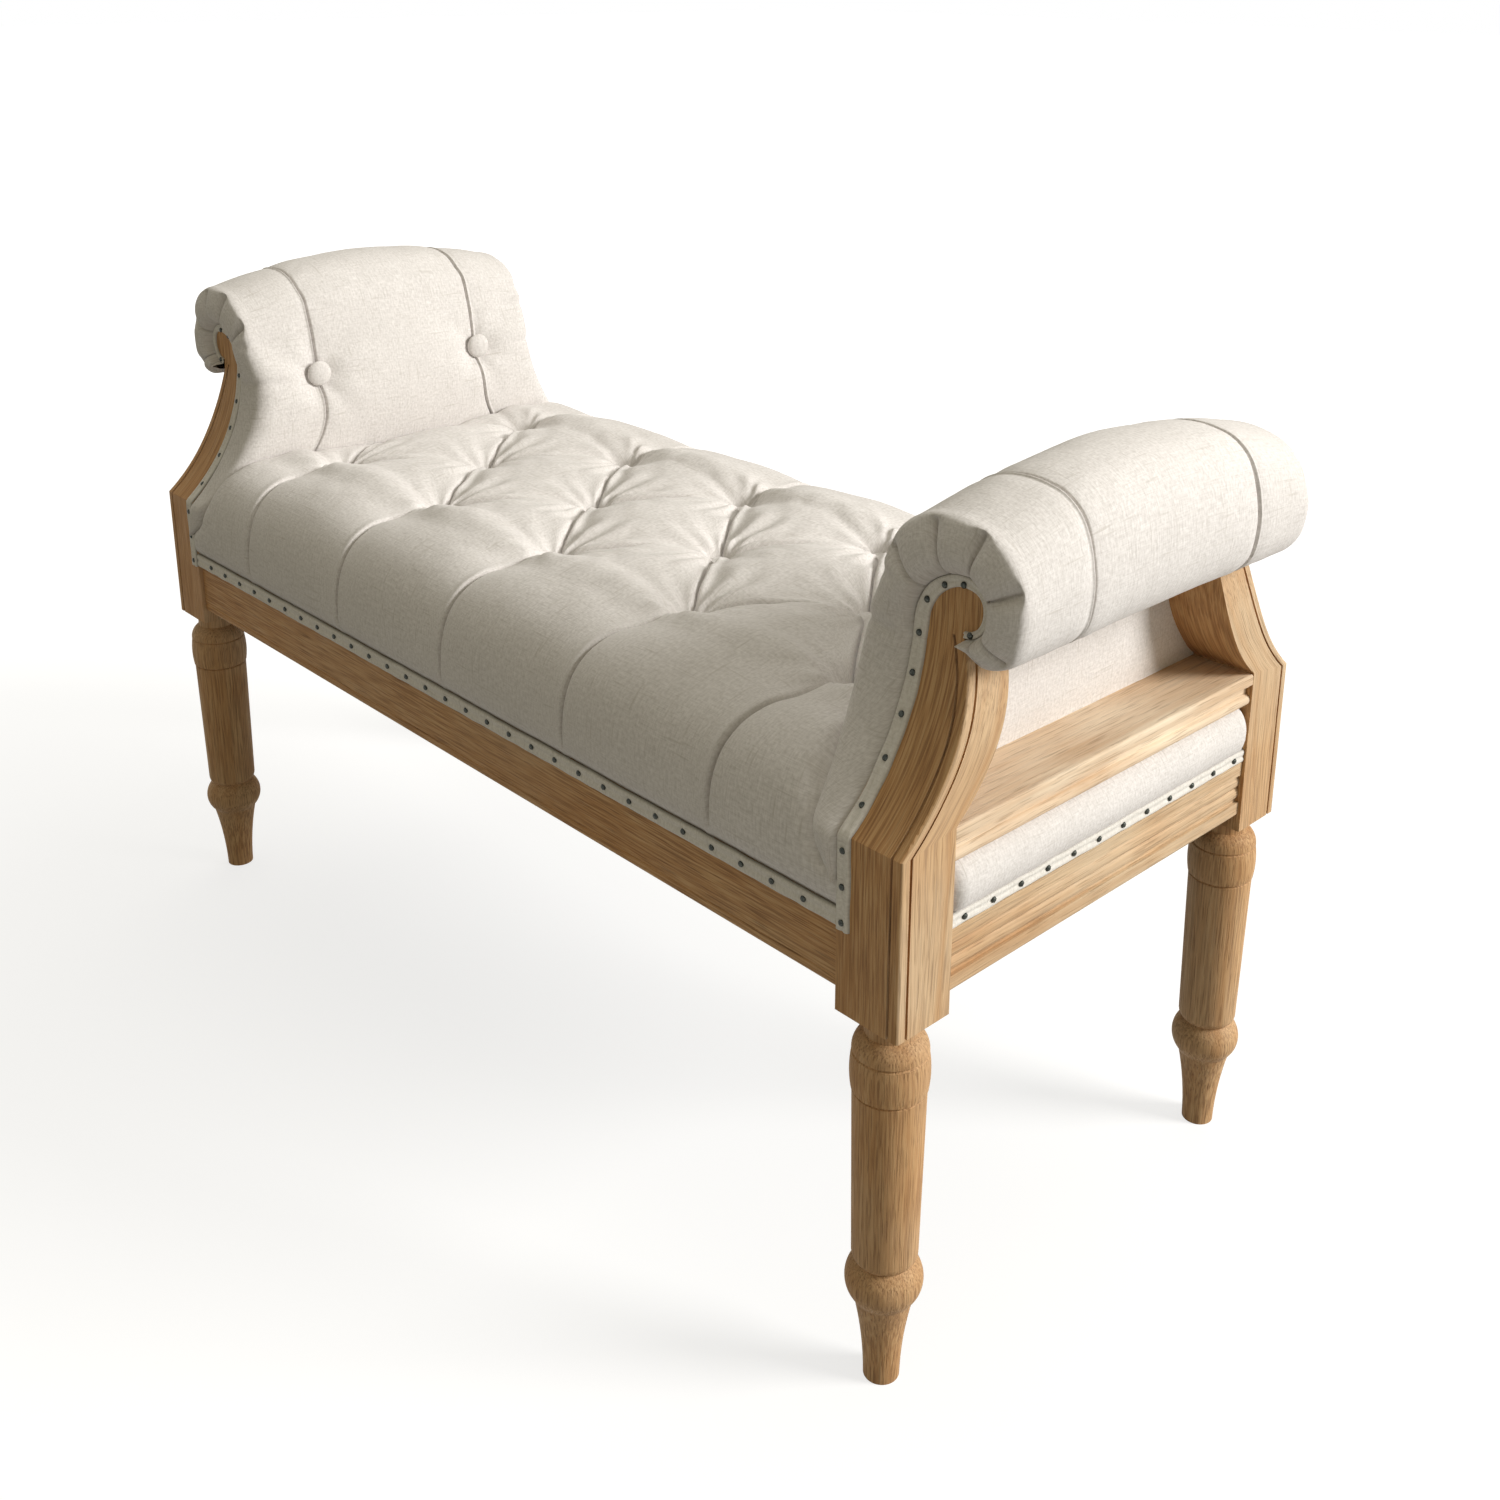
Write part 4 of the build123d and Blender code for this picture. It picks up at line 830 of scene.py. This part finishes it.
swell_half_length = 0.47
swell_half_depth = 0.22
seat_pressure = 3.0
seat_swell = 0.005
seat_shape = bmesh.new()
bmesh.ops.create_grid(seat_shape, x_segments=seat_columns, y_segments=seat_rows, size=1.0)
seat_shape.verts.ensure_lookup_table()
seat_flat = {}
seat_held = set()
for vert in seat_shape.verts:
    flat_x = vert.co.x * seat_reach
    flat_w = vert.co.y * seat_depth
    seat_flat[vert.index] = (flat_x, flat_w)
    vert.co, held_here = seat_place(flat_x, flat_w)
    if held_here:
        seat_held.add(vert.index)
lay_weave(seat_shape, seat_flat)
for face in list(seat_shape.faces):
    low = [vert for vert in face.verts if vert.index in seat_held]
    if len(low) == 2 and not seat_shape.edges.get(low):
        bmesh.utils.face_split(face, low[0], low[1])
crease = seat_shape.edges.layers.float.new("crease_edge")
for edge in seat_shape.edges:
    if edge.verts[0].index in seat_held and edge.verts[1].index in seat_held:
        edge[crease] = 1.0
bmesh.ops.recalc_face_normals(seat_shape, faces=seat_shape.faces)
linen = ivory_linen("ivory_linen", linen_light, linen_shade)
seat_edge = set()
for index, (x, w) in seat_flat.items():
    if abs(x) > swell_half_length or abs(w) > swell_half_depth:
        seat_edge.add(index)
seat = new_piece("seat_cover", seat_shape, linen)
settle(seat, seat_held | seat_edge, seat_pressure, seat_swell)
smooth_cover(seat)
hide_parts("seat_cushion")


# Seat buttons: fourteen wooden moulds covered in the same linen, tied down with twine.
# Each sits at the bottom of its pit, and only its crown shows.
button_radius = 0.0145
button_rise = 0.0065
button_under = -0.35
button_seat = 0.003
outer_row = (-2, -1, 0, 1, 2)
middle_row = (-1.5, -0.5, 0.5, 1.5)


def covered_button(shape, place, out):
    """A domed button with a tucked rim, facing along out."""
    turn = Vector(out).to_track_quat("Z", "Y").to_matrix().to_4x4()
    made = bmesh.ops.create_uvsphere(shape, u_segments=20, v_segments=12, radius=1.0)
    for vert in made["verts"]:
        reach = math.hypot(vert.co.x, vert.co.y)
        lift = button_rise * max(vert.co.z, button_under)
        vert.co = Vector((vert.co.x * button_radius, vert.co.y * button_radius, lift))
        vert.co.z += 0.0004 * noise.noise(vert.co * 300.0 + Vector(place) * 50.0) * (1.0 - reach)
    bmesh.ops.transform(shape, matrix=Matrix.Translation(place) @ turn, verts=made["verts"])


def lay_cap_weave(shape, way):
    """A UV map in metres, straight down on a button."""
    weave = shape.loops.layers.uv.new("weave")
    first, second = [axis for axis in range(3) if axis != way]
    for face in shape.faces:
        for loop in face.loops:
            loop[weave].uv = (loop.vert.co[first], loop.vert.co[second])


button_shape = bmesh.new()
for row, columns in ((-row_pitch, outer_row), (0.0, middle_row), (row_pitch, outer_row)):
    for column in columns:
        covered_button(button_shape, (column * tuft_pitch, row, tuft_height + button_seat), seat_up)
lay_cap_weave(button_shape, 2)
seat_buttons = new_piece("covered_seat_buttons", button_shape, linen)
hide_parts("seat_buttons")


# Arm pads: linen over padding, from the seat up the inside, over the roll and under it.
# A fold runs over each arm at its two buttons, and the ends are pleated round the scroll.
scroll_low, scroll_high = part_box("arm_scroll_rail_right")
seam = scroll_low.x
inner_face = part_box("front_rail")[1].x
head_spring = scroll_low.z
head_top = scroll_high.z
scroll_bulge = scroll_high.x - seam
scroll_half = (head_top - head_spring) / 2.0
arm_line = arm_foot + points_on(
    (0.466, 0.622),
    (0.478, 0.646),
    (0.487, 0.668),
    (0.499, 0.690),
    (0.521, 0.706),
    (0.551, 0.712),
    (0.583, 0.707),
    (0.606, 0.690),
    (0.617, 0.660),
    (0.613, 0.628),
    (0.599, 0.611),
    (0.580, 0.606),
    (0.562, 0.615),
)
arm_rows = 84
wrap_columns = 18
side_columns = 16
middle_columns = 60
arm_columns = 2 * (wrap_columns + side_columns) + middle_columns
arm_wrap = 0.47
button_y = 0.108
button_z = 0.615
roll_crown = 0.023
scroll_middle = Vector((seam, (head_spring + head_top) / 2.0))
pleat_angles = (153, 113, 74, 26, -36, -66)
pleat_clear = 0.0095
pleat_steps = (-0.0075, -0.003, 0.0, 0.003, 0.0075)
inside_limit = 0.5
arm_pressure = 2.5
arm_swell = 0.004
neck_creases = ((0.655, 0.045), (0.612, 0.075))
sign_of = {"right": 1.0, "left": -1.0, "front": -1.0, "rear": 1.0}


def way_round(section):
    """The direction of a point of the arm's outline from the middle of the scroll, in degrees."""
    way = math.degrees(math.atan2(section.y - scroll_middle.y, section.x - scroll_middle.x))
    return way + 360.0 if way < -95.0 else way


def is_on_roll(section):
    """Whether a point of the outline belongs to the roll at the top of the arm."""
    return section.y > head_spring or section.x > seam


fine_count = 2000
fine_shares = [step / fine_count for step in range(fine_count + 1)]
roll_shares = [share for share in fine_shares if is_on_roll(on_line(arm_line, share))]
pleat_shares = [
    min(roll_shares, key=lambda share: abs(way_round(on_line(arm_line, share)) - angle))
    for angle in pleat_angles
]
arm_shares = []
for step in range(arm_rows + 1):
    nearest = min(abs(step / arm_rows - share) for share in pleat_shares)
    if nearest > pleat_clear or step in (0, arm_rows):
        arm_shares.append(step / arm_rows)
for share in pleat_shares:
    arm_shares += [share + step for step in pleat_steps]
arm_shares = sorted(min(1.0, max(0.0, share)) for share in arm_shares)


def scroll_edge(way):
    """The edge of the wood at the end of an arm, in a direction from the middle of the scroll."""
    if way > 90.0:
        turn = math.radians(90.0 + (way - 90.0) * 90.0 / 105.0)
        radius = seam - inner_face
        return Vector((seam + radius * math.cos(turn), head_spring + radius * math.sin(turn)))
    turn = math.radians(way)
    return scroll_middle + Vector((scroll_bulge * math.cos(turn), scroll_half * math.sin(turn)))


def gather(step):
    """Columns that lie close together beside a pleat and spread out away from it."""
    return (math.exp(3.0 * step) - 1.0) / (math.exp(3.0) - 1.0)


def arm_place(u, share):
    """Where a point of an arm's cover lies: u counts columns, share runs from seat to under roll."""
    section = on_line(arm_line, share)
    on_roll = is_on_roll(section)
    way = way_round(section)
    if on_roll or way < 90.0:
        edge = scroll_edge(min(way, 195.0))
    else:
        edge = Vector((inner_face + 0.0005, section.y - 0.003))
    face = post_front(section.y) if section.x < seam else head_front
    crisp = 1.0 if section.x > seam else ease((section.y - 0.60) / 0.07)
    low = 1.0 - ease((section.y - 0.48) / 0.08)
    proud = 0.0055 + 0.0035 * crisp
    wrap_depth = 0.017 - 0.0135 * crisp - 0.008 * low
    rim = face - wrap_depth
    fold_y = button_y + 0.25 * max(0.0, button_z - 0.02 - section.y) * ease((rim - 0.16) / 0.05)
    if section.x > seam:
        fold_y = button_y
    side = 1.0 if u > 0 else -1.0
    column = abs(u)
    half_middle = middle_columns / 2
    if column <= half_middle:
        y = fold_y * (1.0 - gather(1.0 - column / half_middle))
    elif column <= half_middle + side_columns:
        y = fold_y + (rim - fold_y) * gather((column - half_middle) / side_columns)
    else:
        y = rim
    crown = max(0.0, 1.0 - (y / rim) ** 2)
    lift = Vector((0.004 * crown, roll_crown * crown)) * ease((section.y - 0.64) / 0.07)
    if section.x < inside_limit:
        lift.x = -0.005 * crown * ease((section.y - 0.47) / 0.05)
    shape_point = section + lift
    if column > half_middle + side_columns:
        step = (column - half_middle - side_columns) / wrap_columns
        inward = edge - section
        reach = inward.length
        inward.normalize()
        turn_in = min(0.018 - 0.0135 * crisp - 0.009 * low, 0.4 * reach)
        corner_share = 0.45 - 0.15 * crisp
        if step <= corner_share:
            angle = step / corner_share * math.pi / 2.0
            along = turn_in * (1.0 - math.cos(angle))
            y = rim + (wrap_depth + proud) * math.sin(angle)
        else:
            rest = 1.0 - (1.0 - (step - corner_share) / (1.0 - corner_share)) ** 1.5
            along = turn_in + (reach - turn_in) * rest
            y = face + proud * (1.0 - rest**10) + (0.002 + 0.003 * crisp) * math.sin(math.pi * rest)
        shape_point = section + inward * along
        if on_roll:
            off = min(abs(share - pleat) for pleat in pleat_shares) * arm_wrap
            depth = ease((step - 0.2) / 0.2) * ease((1.02 - step) / 0.1)
            open_end = ease((step - 0.14) / 0.16) * (1.0 - ease((step - 0.35) / 0.5))
            y -= depth * (0.0070 * hump(off, 0.0, 0.0011) + 0.0015 * math.exp(-off / 0.006))
            y += depth * 0.0010 - 0.0050 * open_end * hump(off, 0.0, 0.0065)
    return Vector((shape_point.x, side * y, shape_point.y)), fold_y, y


def neck_crease(place, y, height, length):
    """A short crease that runs in from the trim where the arm narrows to its scroll."""
    across = place.z - height - 0.12 * (head_front - y)
    fade = ease((y - head_front + length) / length)
    return fade * (0.0012 - 0.0042 * hump(across, 0.0, 0.0030)) * hump(across, 0.0, 0.02)


def make_arm_cover(end):
    """The cover of one arm, and the vertices that its folds, buttons and edges hold."""
    sign = sign_of[end]
    shape = bmesh.new()
    rows = len(arm_shares) - 1
    bmesh.ops.create_grid(shape, x_segments=arm_columns, y_segments=rows, size=1.0)
    flat = {}
    beside = {}
    held = set()
    for vert in shape.verts:
        u = vert.co.x * arm_columns / 2.0
        share = arm_shares[round((vert.co.y + 1.0) / 2.0 * rows)]
        place, fold_y, y = arm_place(round(u), share)
        flat[vert.index] = (y + 0.2 * max(0.0, abs(u) / arm_columns * 2.0 - 0.8), share * arm_wrap)
        if u < 0.0:
            flat[vert.index] = (-flat[vert.index][0], share * arm_wrap)
        beside[vert.index] = (fold_y, y)
        vert.co = place
        near_fold = abs(y - fold_y) < 0.004
        from_button = math.hypot(y - fold_y, place.z - button_z)
        near_button = place.x < inside_limit and from_button < 0.018
        wrapped = abs(u) > middle_columns / 2 + side_columns - 1
        if near_fold or near_button or wrapped or share < 0.16 or share > 0.94:
            held.add(vert.index)
    bmesh.ops.recalc_face_normals(shape, faces=shape.faces)
    roll_top = Vector((0.55, 0.0, 0.74))
    crown_face = min(shape.faces, key=lambda face: (face.calc_center_median() - roll_top).length)
    if crown_face.normal.z < 0.0:
        bmesh.ops.reverse_faces(shape, faces=shape.faces)
    shape.normal_update()
    normals = {vert.index: vert.normal.copy() for vert in shape.verts}
    for vert in shape.verts:
        fold_y, y = beside[vert.index]
        place = vert.co
        gap = y - fold_y
        on_side = ease((post_front(place.z) - 0.006 - y) / 0.01)
        valley = 0.0022 * math.exp(-abs(gap) / 0.005)
        line = 0.0085 * hump(gap, -0.0012, 0.0008)
        edge = 0.0022 * hump(gap, 0.0008, 0.0012)
        rise = on_side * (edge - valley - line)
        if place.x < inside_limit:
            tuft = math.hypot(gap, place.z - button_z)
            spoke = math.atan2(place.z - button_z, gap)
            pull = math.exp(-tuft / 0.045) * (1.0 - hump(tuft, 0.0, 0.02))
            rise -= 0.014 * hump(tuft, 0.0, 0.024) + 0.004 * math.exp(-tuft / 0.04)
            rise += 0.0026 * pull * math.sin(7.0 * spoke + 1.0)
            for height, length in neck_creases:
                rise += neck_crease(place, y, height, length)
        rough = Vector((y * 20.0, place.z * 20.0, place.x * 20.0 + 3.0 * sign))
        rise += 0.0013 * noise.noise(rough) + 0.0005 * noise.noise(rough * 3.5)
        vert.co = place + normals[vert.index] * rise
    lay_weave(shape, flat)
    if sign < 0.0:
        bmesh.ops.scale(shape, vec=(-1.0, 1.0, 1.0), verts=shape.verts)
        bmesh.ops.reverse_faces(shape, faces=shape.faces)
    return shape, held


for end in ends:
    arm_shape, arm_held = make_arm_cover(end)
    arm = new_piece("arm_cover_" + end, arm_shape, linen)
    settle(arm, arm_held, arm_pressure, arm_swell)
    smooth_cover(arm)
    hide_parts("arm_pad_" + end)


# Arm buttons: two on each arm, wooden moulds covered in the same linen and facing the seat.
# They sit in the padding where the two folds of the cover run over the arm.
arm_button_x = 0.469
for end in ends:
    sign = sign_of[end]
    shape = bmesh.new()
    for y in (-button_y, button_y):
        covered_button(shape, (sign * arm_button_x, y, button_z), (-sign, 0.0, 0.0))
    lay_cap_weave(shape, 0)
    arm_buttons = new_piece("covered_arm_buttons_" + end, shape, linen)
    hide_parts("arm_buttons_" + end)


# Outside panels: a plain piece of linen between the posts, under the roll of each arm.
# It is stretched flat over the arm board, and its lower edge ends at the ledge.
panel_low, panel_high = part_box("outside_panel_right")
panel_height = panel_high.z - panel_low.z
panel_top = -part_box("arm_top_rail_right")[0].y
curve_start = 0.487
curve_height = 0.123
panel_columns = 40
panel_rows = 16
panel_stand = 0.001
panel_puff = 0.003
panel_ripple = 0.0008


def panel_edge(z):
    """The inner edge of a post at a height, seen from the end."""
    share = min(1.0, max(0.0, (z - curve_start) / curve_height))
    return panel_top + (panel_high.y - panel_top) * (1.0 - math.sin(share * math.pi / 2.0) ** 1.3)


def face_outwards(shape, out):
    """Turns the faces of a sheet or a strip to the side that it shows."""
    shape.normal_update()
    if sum(face.normal.dot(out) for face in shape.faces) < 0.0:
        bmesh.ops.reverse_faces(shape, faces=shape.faces)


for end in ends:
    sign = sign_of[end]
    shape = bmesh.new()
    bmesh.ops.create_grid(shape, x_segments=panel_columns, y_segments=panel_rows, size=1.0)
    flat = {}
    for vert in shape.verts:
        u = vert.co.x
        v = (vert.co.y + 1.0) / 2.0
        z = panel_low.z + v * panel_height
        y = u * panel_edge(z)
        rise = panel_puff * (1.0 - u**6) * ease(v * 6.0)
        rise += panel_ripple * noise.noise(Vector((y * 22.0, z * 22.0, sign)))
        flat[vert.index] = (y, z)
        vert.co = Vector((sign * (panel_low.x + panel_stand + max(0.0, rise)), y, z))
    face_outwards(shape, Vector((sign, 0.0, 0.0)))
    lay_weave(shape, flat)
    panel = new_piece("linen_panel_" + end, shape, linen)
    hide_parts("outside_panel_" + end)


# End bands: a strip of linen over a thin roll of padding, above the reeds of each end rail.
# It is tucked under the ledge, and a nailed tape covers its lower edge.
band_low, band_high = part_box("end_band_right")
band_columns = 80
band_rows = 16
band_cut = 0.062
band_tuck = 0.009
band_ripple = 0.0007
band_line = points_on(
    (0.5615, band_high.z - 0.0005),
    (0.570, band_high.z - 0.004),
    (0.5765, band_high.z - 0.013),
    (0.5785, band_high.z - 0.025),
    (0.5755, band_high.z - 0.037),
    (0.5705, band_high.z - 0.044),
    (0.5700, band_low.z + 0.002),
)
for end in ends:
    sign = sign_of[end]
    shape = bmesh.new()
    bmesh.ops.create_grid(shape, x_segments=band_columns, y_segments=band_rows, size=1.0)
    flat = {}
    for vert in shape.verts:
        u = vert.co.x
        v = (vert.co.y + 1.0) / 2.0
        here = on_line(band_line, v)
        tuck = band_tuck * (1.0 - min(1.0, (1.0 - abs(u)) / 0.05) ** 0.5)
        y = u * band_high.y
        rise = band_ripple * noise.noise(Vector((y * 24.0, v * 2.0, 5.0 + sign))) - tuck
        flat[vert.index] = (y, v * band_cut)
        vert.co = Vector((sign * (here.x + rise), y, here.y))
    face_outwards(shape, Vector((sign, 0.0, 0.0)))
    lay_weave(shape, flat)
    band = new_piece("padded_band_" + end, shape, linen)
    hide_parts("end_band_" + end)


# Trim tapes: strips of the same linen, folded to a narrow tape, over every raw edge of the covers.
# A shallow groove runs along the middle of each, where the nails hold it down.
tape_light = (0.85, 0.82, 0.775, 1.0)
tape_shade = (0.66, 0.63, 0.58, 1.0)
tape_linen = ivory_linen("tape_linen", tape_light, tape_shade, True)
tape_thickness = 0.0024
tape_groove = 0.0010
tape_wave = 0.0007
tape_rows = 12
rail_tape_columns = 220
end_tape_columns = 90
arm_tape_columns = 130
rail_tape_sunk = 0.002
end_tape_sunk = 0.0012


def tape_height(v):
    """The rounded section of a tape, from edge to edge."""
    groove = tape_groove * hump(v, 0.5, 0.13)
    return tape_thickness * (1.0 - abs(2.0 * v - 1.0) ** 5) ** 0.5 - groove


def lay_tape(name, node, columns, place_of, length, out):
    """A tape along a line: place_of gives its place, across direction, width and face direction."""
    shape = bmesh.new()
    edge_shade = shape.verts.layers.float.new("edge_shade")
    bmesh.ops.create_grid(shape, x_segments=columns, y_segments=tape_rows, size=1.0)
    flat = {}
    for vert in shape.verts:
        share = (vert.co.x + 1.0) / 2.0
        v = (vert.co.y + 1.0) / 2.0
        place, across, width, lifted = place_of(share)
        # Painted shade along both edges, darker on the cover side than on the wood side.
        vert[edge_shade] = 0.85 * ease((v - 0.89) / 0.11) + 0.5 * ease((0.08 - v) / 0.08)
        wave = tape_wave * noise.noise(Vector((share * length * 55.0, v * 1.5, place.x * 3.0)))
        flat[vert.index] = (share * length, v * width)
        vert.co = place + across * ((v - 0.5) * width + wave) + lifted * tape_height(v)
    face_outwards(shape, out)
    lay_weave(shape, flat)
    tape = new_piece(name, shape, tape_linen)
    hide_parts(node)


def straight_tape(name, node, columns, along, sign, sunk):
    """A tape along a rail: along is 0 for one in x and 1 for one in y."""
    low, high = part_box(node)
    length = high[along] - low[along]
    reach = max(abs(low[1 - along]), abs(high[1 - along])) - sunk
    out = Vector((0.0, 0.0, 0.0))
    out[1 - along] = sign

    def place_of(share):
        place = Vector((0.0, 0.0, (low.z + high.z) / 2.0))
        place[along] = low[along] + share * length
        place[1 - along] = sign * reach
        return place, seat_up, high.z - low.z, out

    lay_tape(name, node, columns, place_of, length, out)


for side in sides:
    straight_tape(side + "_tape", side + "_trim", rail_tape_columns, 0, sign_of[side], rail_tape_sunk)
for end in ends:
    straight_tape("end_tape_" + end, "end_trim_" + end, end_tape_columns, 1, sign_of[end], end_tape_sunk)

arm_tape_width = 0.0135
scroll_tape_width = 0.0055
head_narrowing = 0.004
tape_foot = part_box("arm_trim_front_right")[0].z
rise_length = head_spring - tape_foot
head_length = (seam - inner_face - arm_tape_width / 2.0) * math.pi / 2.0
scroll_length = scroll_half * math.pi
arm_tape_length = rise_length + head_length + scroll_length


def post_slope(z):
    """How much the front of a post leans back at a height."""
    return (post_front(z - 0.002) - post_front(z + 0.002)) / 0.004


def arm_tape_place(share, sign_x, sign_y):
    """A place on a tape that climbs a post, rounds its head and follows the scroll."""
    way = share * arm_tape_length
    width = arm_tape_width
    across = Vector((-1.0, 0.0, 0.0))
    if way <= rise_length:
        z = tape_foot + way
        x = inner_face + width / 2.0
    elif way <= rise_length + head_length:
        turn = math.pi - (way - rise_length) / head_length * math.pi / 2.0
        width = arm_tape_width - head_narrowing * ease((way - rise_length) / head_length)
        radius = seam - inner_face - width / 2.0
        x = seam + radius * math.cos(turn)
        z = head_spring + radius * math.sin(turn)
        across = Vector((math.cos(turn), 0.0, math.sin(turn)))
    else:
        done = (way - rise_length - head_length) / scroll_length
        turn = math.pi / 2.0 - done * math.pi
        width = scroll_tape_width + head_narrowing * (1.0 - ease(done / 0.4))
        x = seam + (scroll_bulge - width / 2.0) * math.cos(turn)
        z = scroll_middle.y + (scroll_half - width / 2.0) * math.sin(turn)
        across = Vector((math.cos(turn), 0.0, math.sin(turn)))
    face = post_front(z) if x < seam else head_front
    out = Vector((0.0, sign_y, post_slope(z) if x < seam else 0.0))
    out.normalize()
    across.x *= sign_x
    return Vector((sign_x * x, sign_y * face, z)), across, width, out


for corner in corners:
    side, end = corner.split("_")
    sign_x = sign_of[end]
    sign_y = sign_of[side]
    lay_tape(
        "arm_tape_" + corner,
        "arm_trim_" + corner,
        arm_tape_columns,
        lambda share: arm_tape_place(share, sign_x, sign_y),
        arm_tape_length,
        Vector((0.0, sign_y, 0.0)),
    )


# Nails: small domed heads of blackened steel, rubbed a little brighter in places.
# They are driven through the tapes along every edge, closer together round the heads of the posts.
steel_dark = (0.018, 0.021, 0.017, 1.0)
steel_worn = (0.07, 0.075, 0.06, 1.0)
steel_steps = [(0.4, steel_dark), (0.7, steel_worn)]
steel = clouded_metal("blackened_steel", 700.0, steel_steps, (0.5, 0.34), 0.6)
nail_radius = 0.0027
nail_height = 0.0017
rail_nail_pitch = 0.034
rail_nail_lift = 0.0003
end_nail_reach = 0.181
end_nail_pitch = 0.032
end_nail_lift = 0.001
arm_nail_pitch = 0.028
arm_nail_lift = 0.0022
head_nail_angles = (150, 118, 92)
scroll_nail_out = 0.006
scroll_nail_up = 0.004


def drive_nail(shape, place, out):
    """A domed nail head, seated in its tape."""
    turn = Vector(out).to_track_quat("Z", "Y").to_matrix().to_4x4()
    made = bmesh.ops.create_uvsphere(shape, u_segments=10, v_segments=6, radius=1.0)
    bmesh.ops.scale(shape, vec=(nail_radius, nail_radius, nail_height), verts=made["verts"])
    bmesh.ops.transform(shape, matrix=Matrix.Translation(place) @ turn, verts=made["verts"])


def evenly(reach, pitch):
    """Evenly spaced places within plus and minus reach, about a pitch apart."""
    count = max(1, round(2.0 * reach / pitch))
    return [-reach + 2.0 * reach * step / count for step in range(count + 1)]


nail_shape = bmesh.new()
rail_trim_low, rail_trim_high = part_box("front_trim")
end_trim_low, end_trim_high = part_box("end_trim_right")
rail_nail_y = -rail_trim_low.y + rail_nail_lift
rail_nail_z = (rail_trim_low.z + rail_trim_high.z) / 2.0
end_nail_x = end_trim_high.x + end_nail_lift
end_nail_z = (end_trim_low.z + end_trim_high.z) / 2.0
for x in evenly(inner_face - rail_nail_pitch, rail_nail_pitch):
    for sign in (-1.0, 1.0):
        drive_nail(nail_shape, (x, sign * rail_nail_y, rail_nail_z), (0.0, sign, 0.0))
for y in evenly(end_nail_reach, end_nail_pitch):
    for sign in (-1.0, 1.0):
        drive_nail(nail_shape, (sign * end_nail_x, y, end_nail_z), (sign, 0.0, 0.0))
rail_nails = new_piece("rail_nail_heads", nail_shape, steel)
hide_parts("rail_nails")

arm_nail_shape = bmesh.new()
nail_rise = rise_length - arm_tape_width
nail_count = round(nail_rise / arm_nail_pitch)
nail_line = inner_face + arm_tape_width / 2.0
nail_places = []
for step in range(nail_count + 1):
    nail_places.append((nail_line, tape_foot + arm_tape_width / 2.0 + nail_rise * step / nail_count))
for angle in head_nail_angles:
    radius = seam - nail_line
    turn = math.radians(angle)
    nail_places.append((seam + radius * math.cos(turn), head_spring + radius * math.sin(turn)))
nail_places.append((seam + scroll_nail_out, head_spring + scroll_nail_up))
for x, z in nail_places:
    slope = post_slope(z) if x <= seam else 0.0
    face = (post_front(z) if x <= seam else head_front) + arm_nail_lift
    for sign_x in (-1.0, 1.0):
        for sign_y in (-1.0, 1.0):
            drive_nail(arm_nail_shape, (sign_x * x, sign_y * face, z), (0.0, sign_y, slope))
arm_nails = new_piece("arm_nail_heads", arm_nail_shape, steel)
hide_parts("arm_nails")
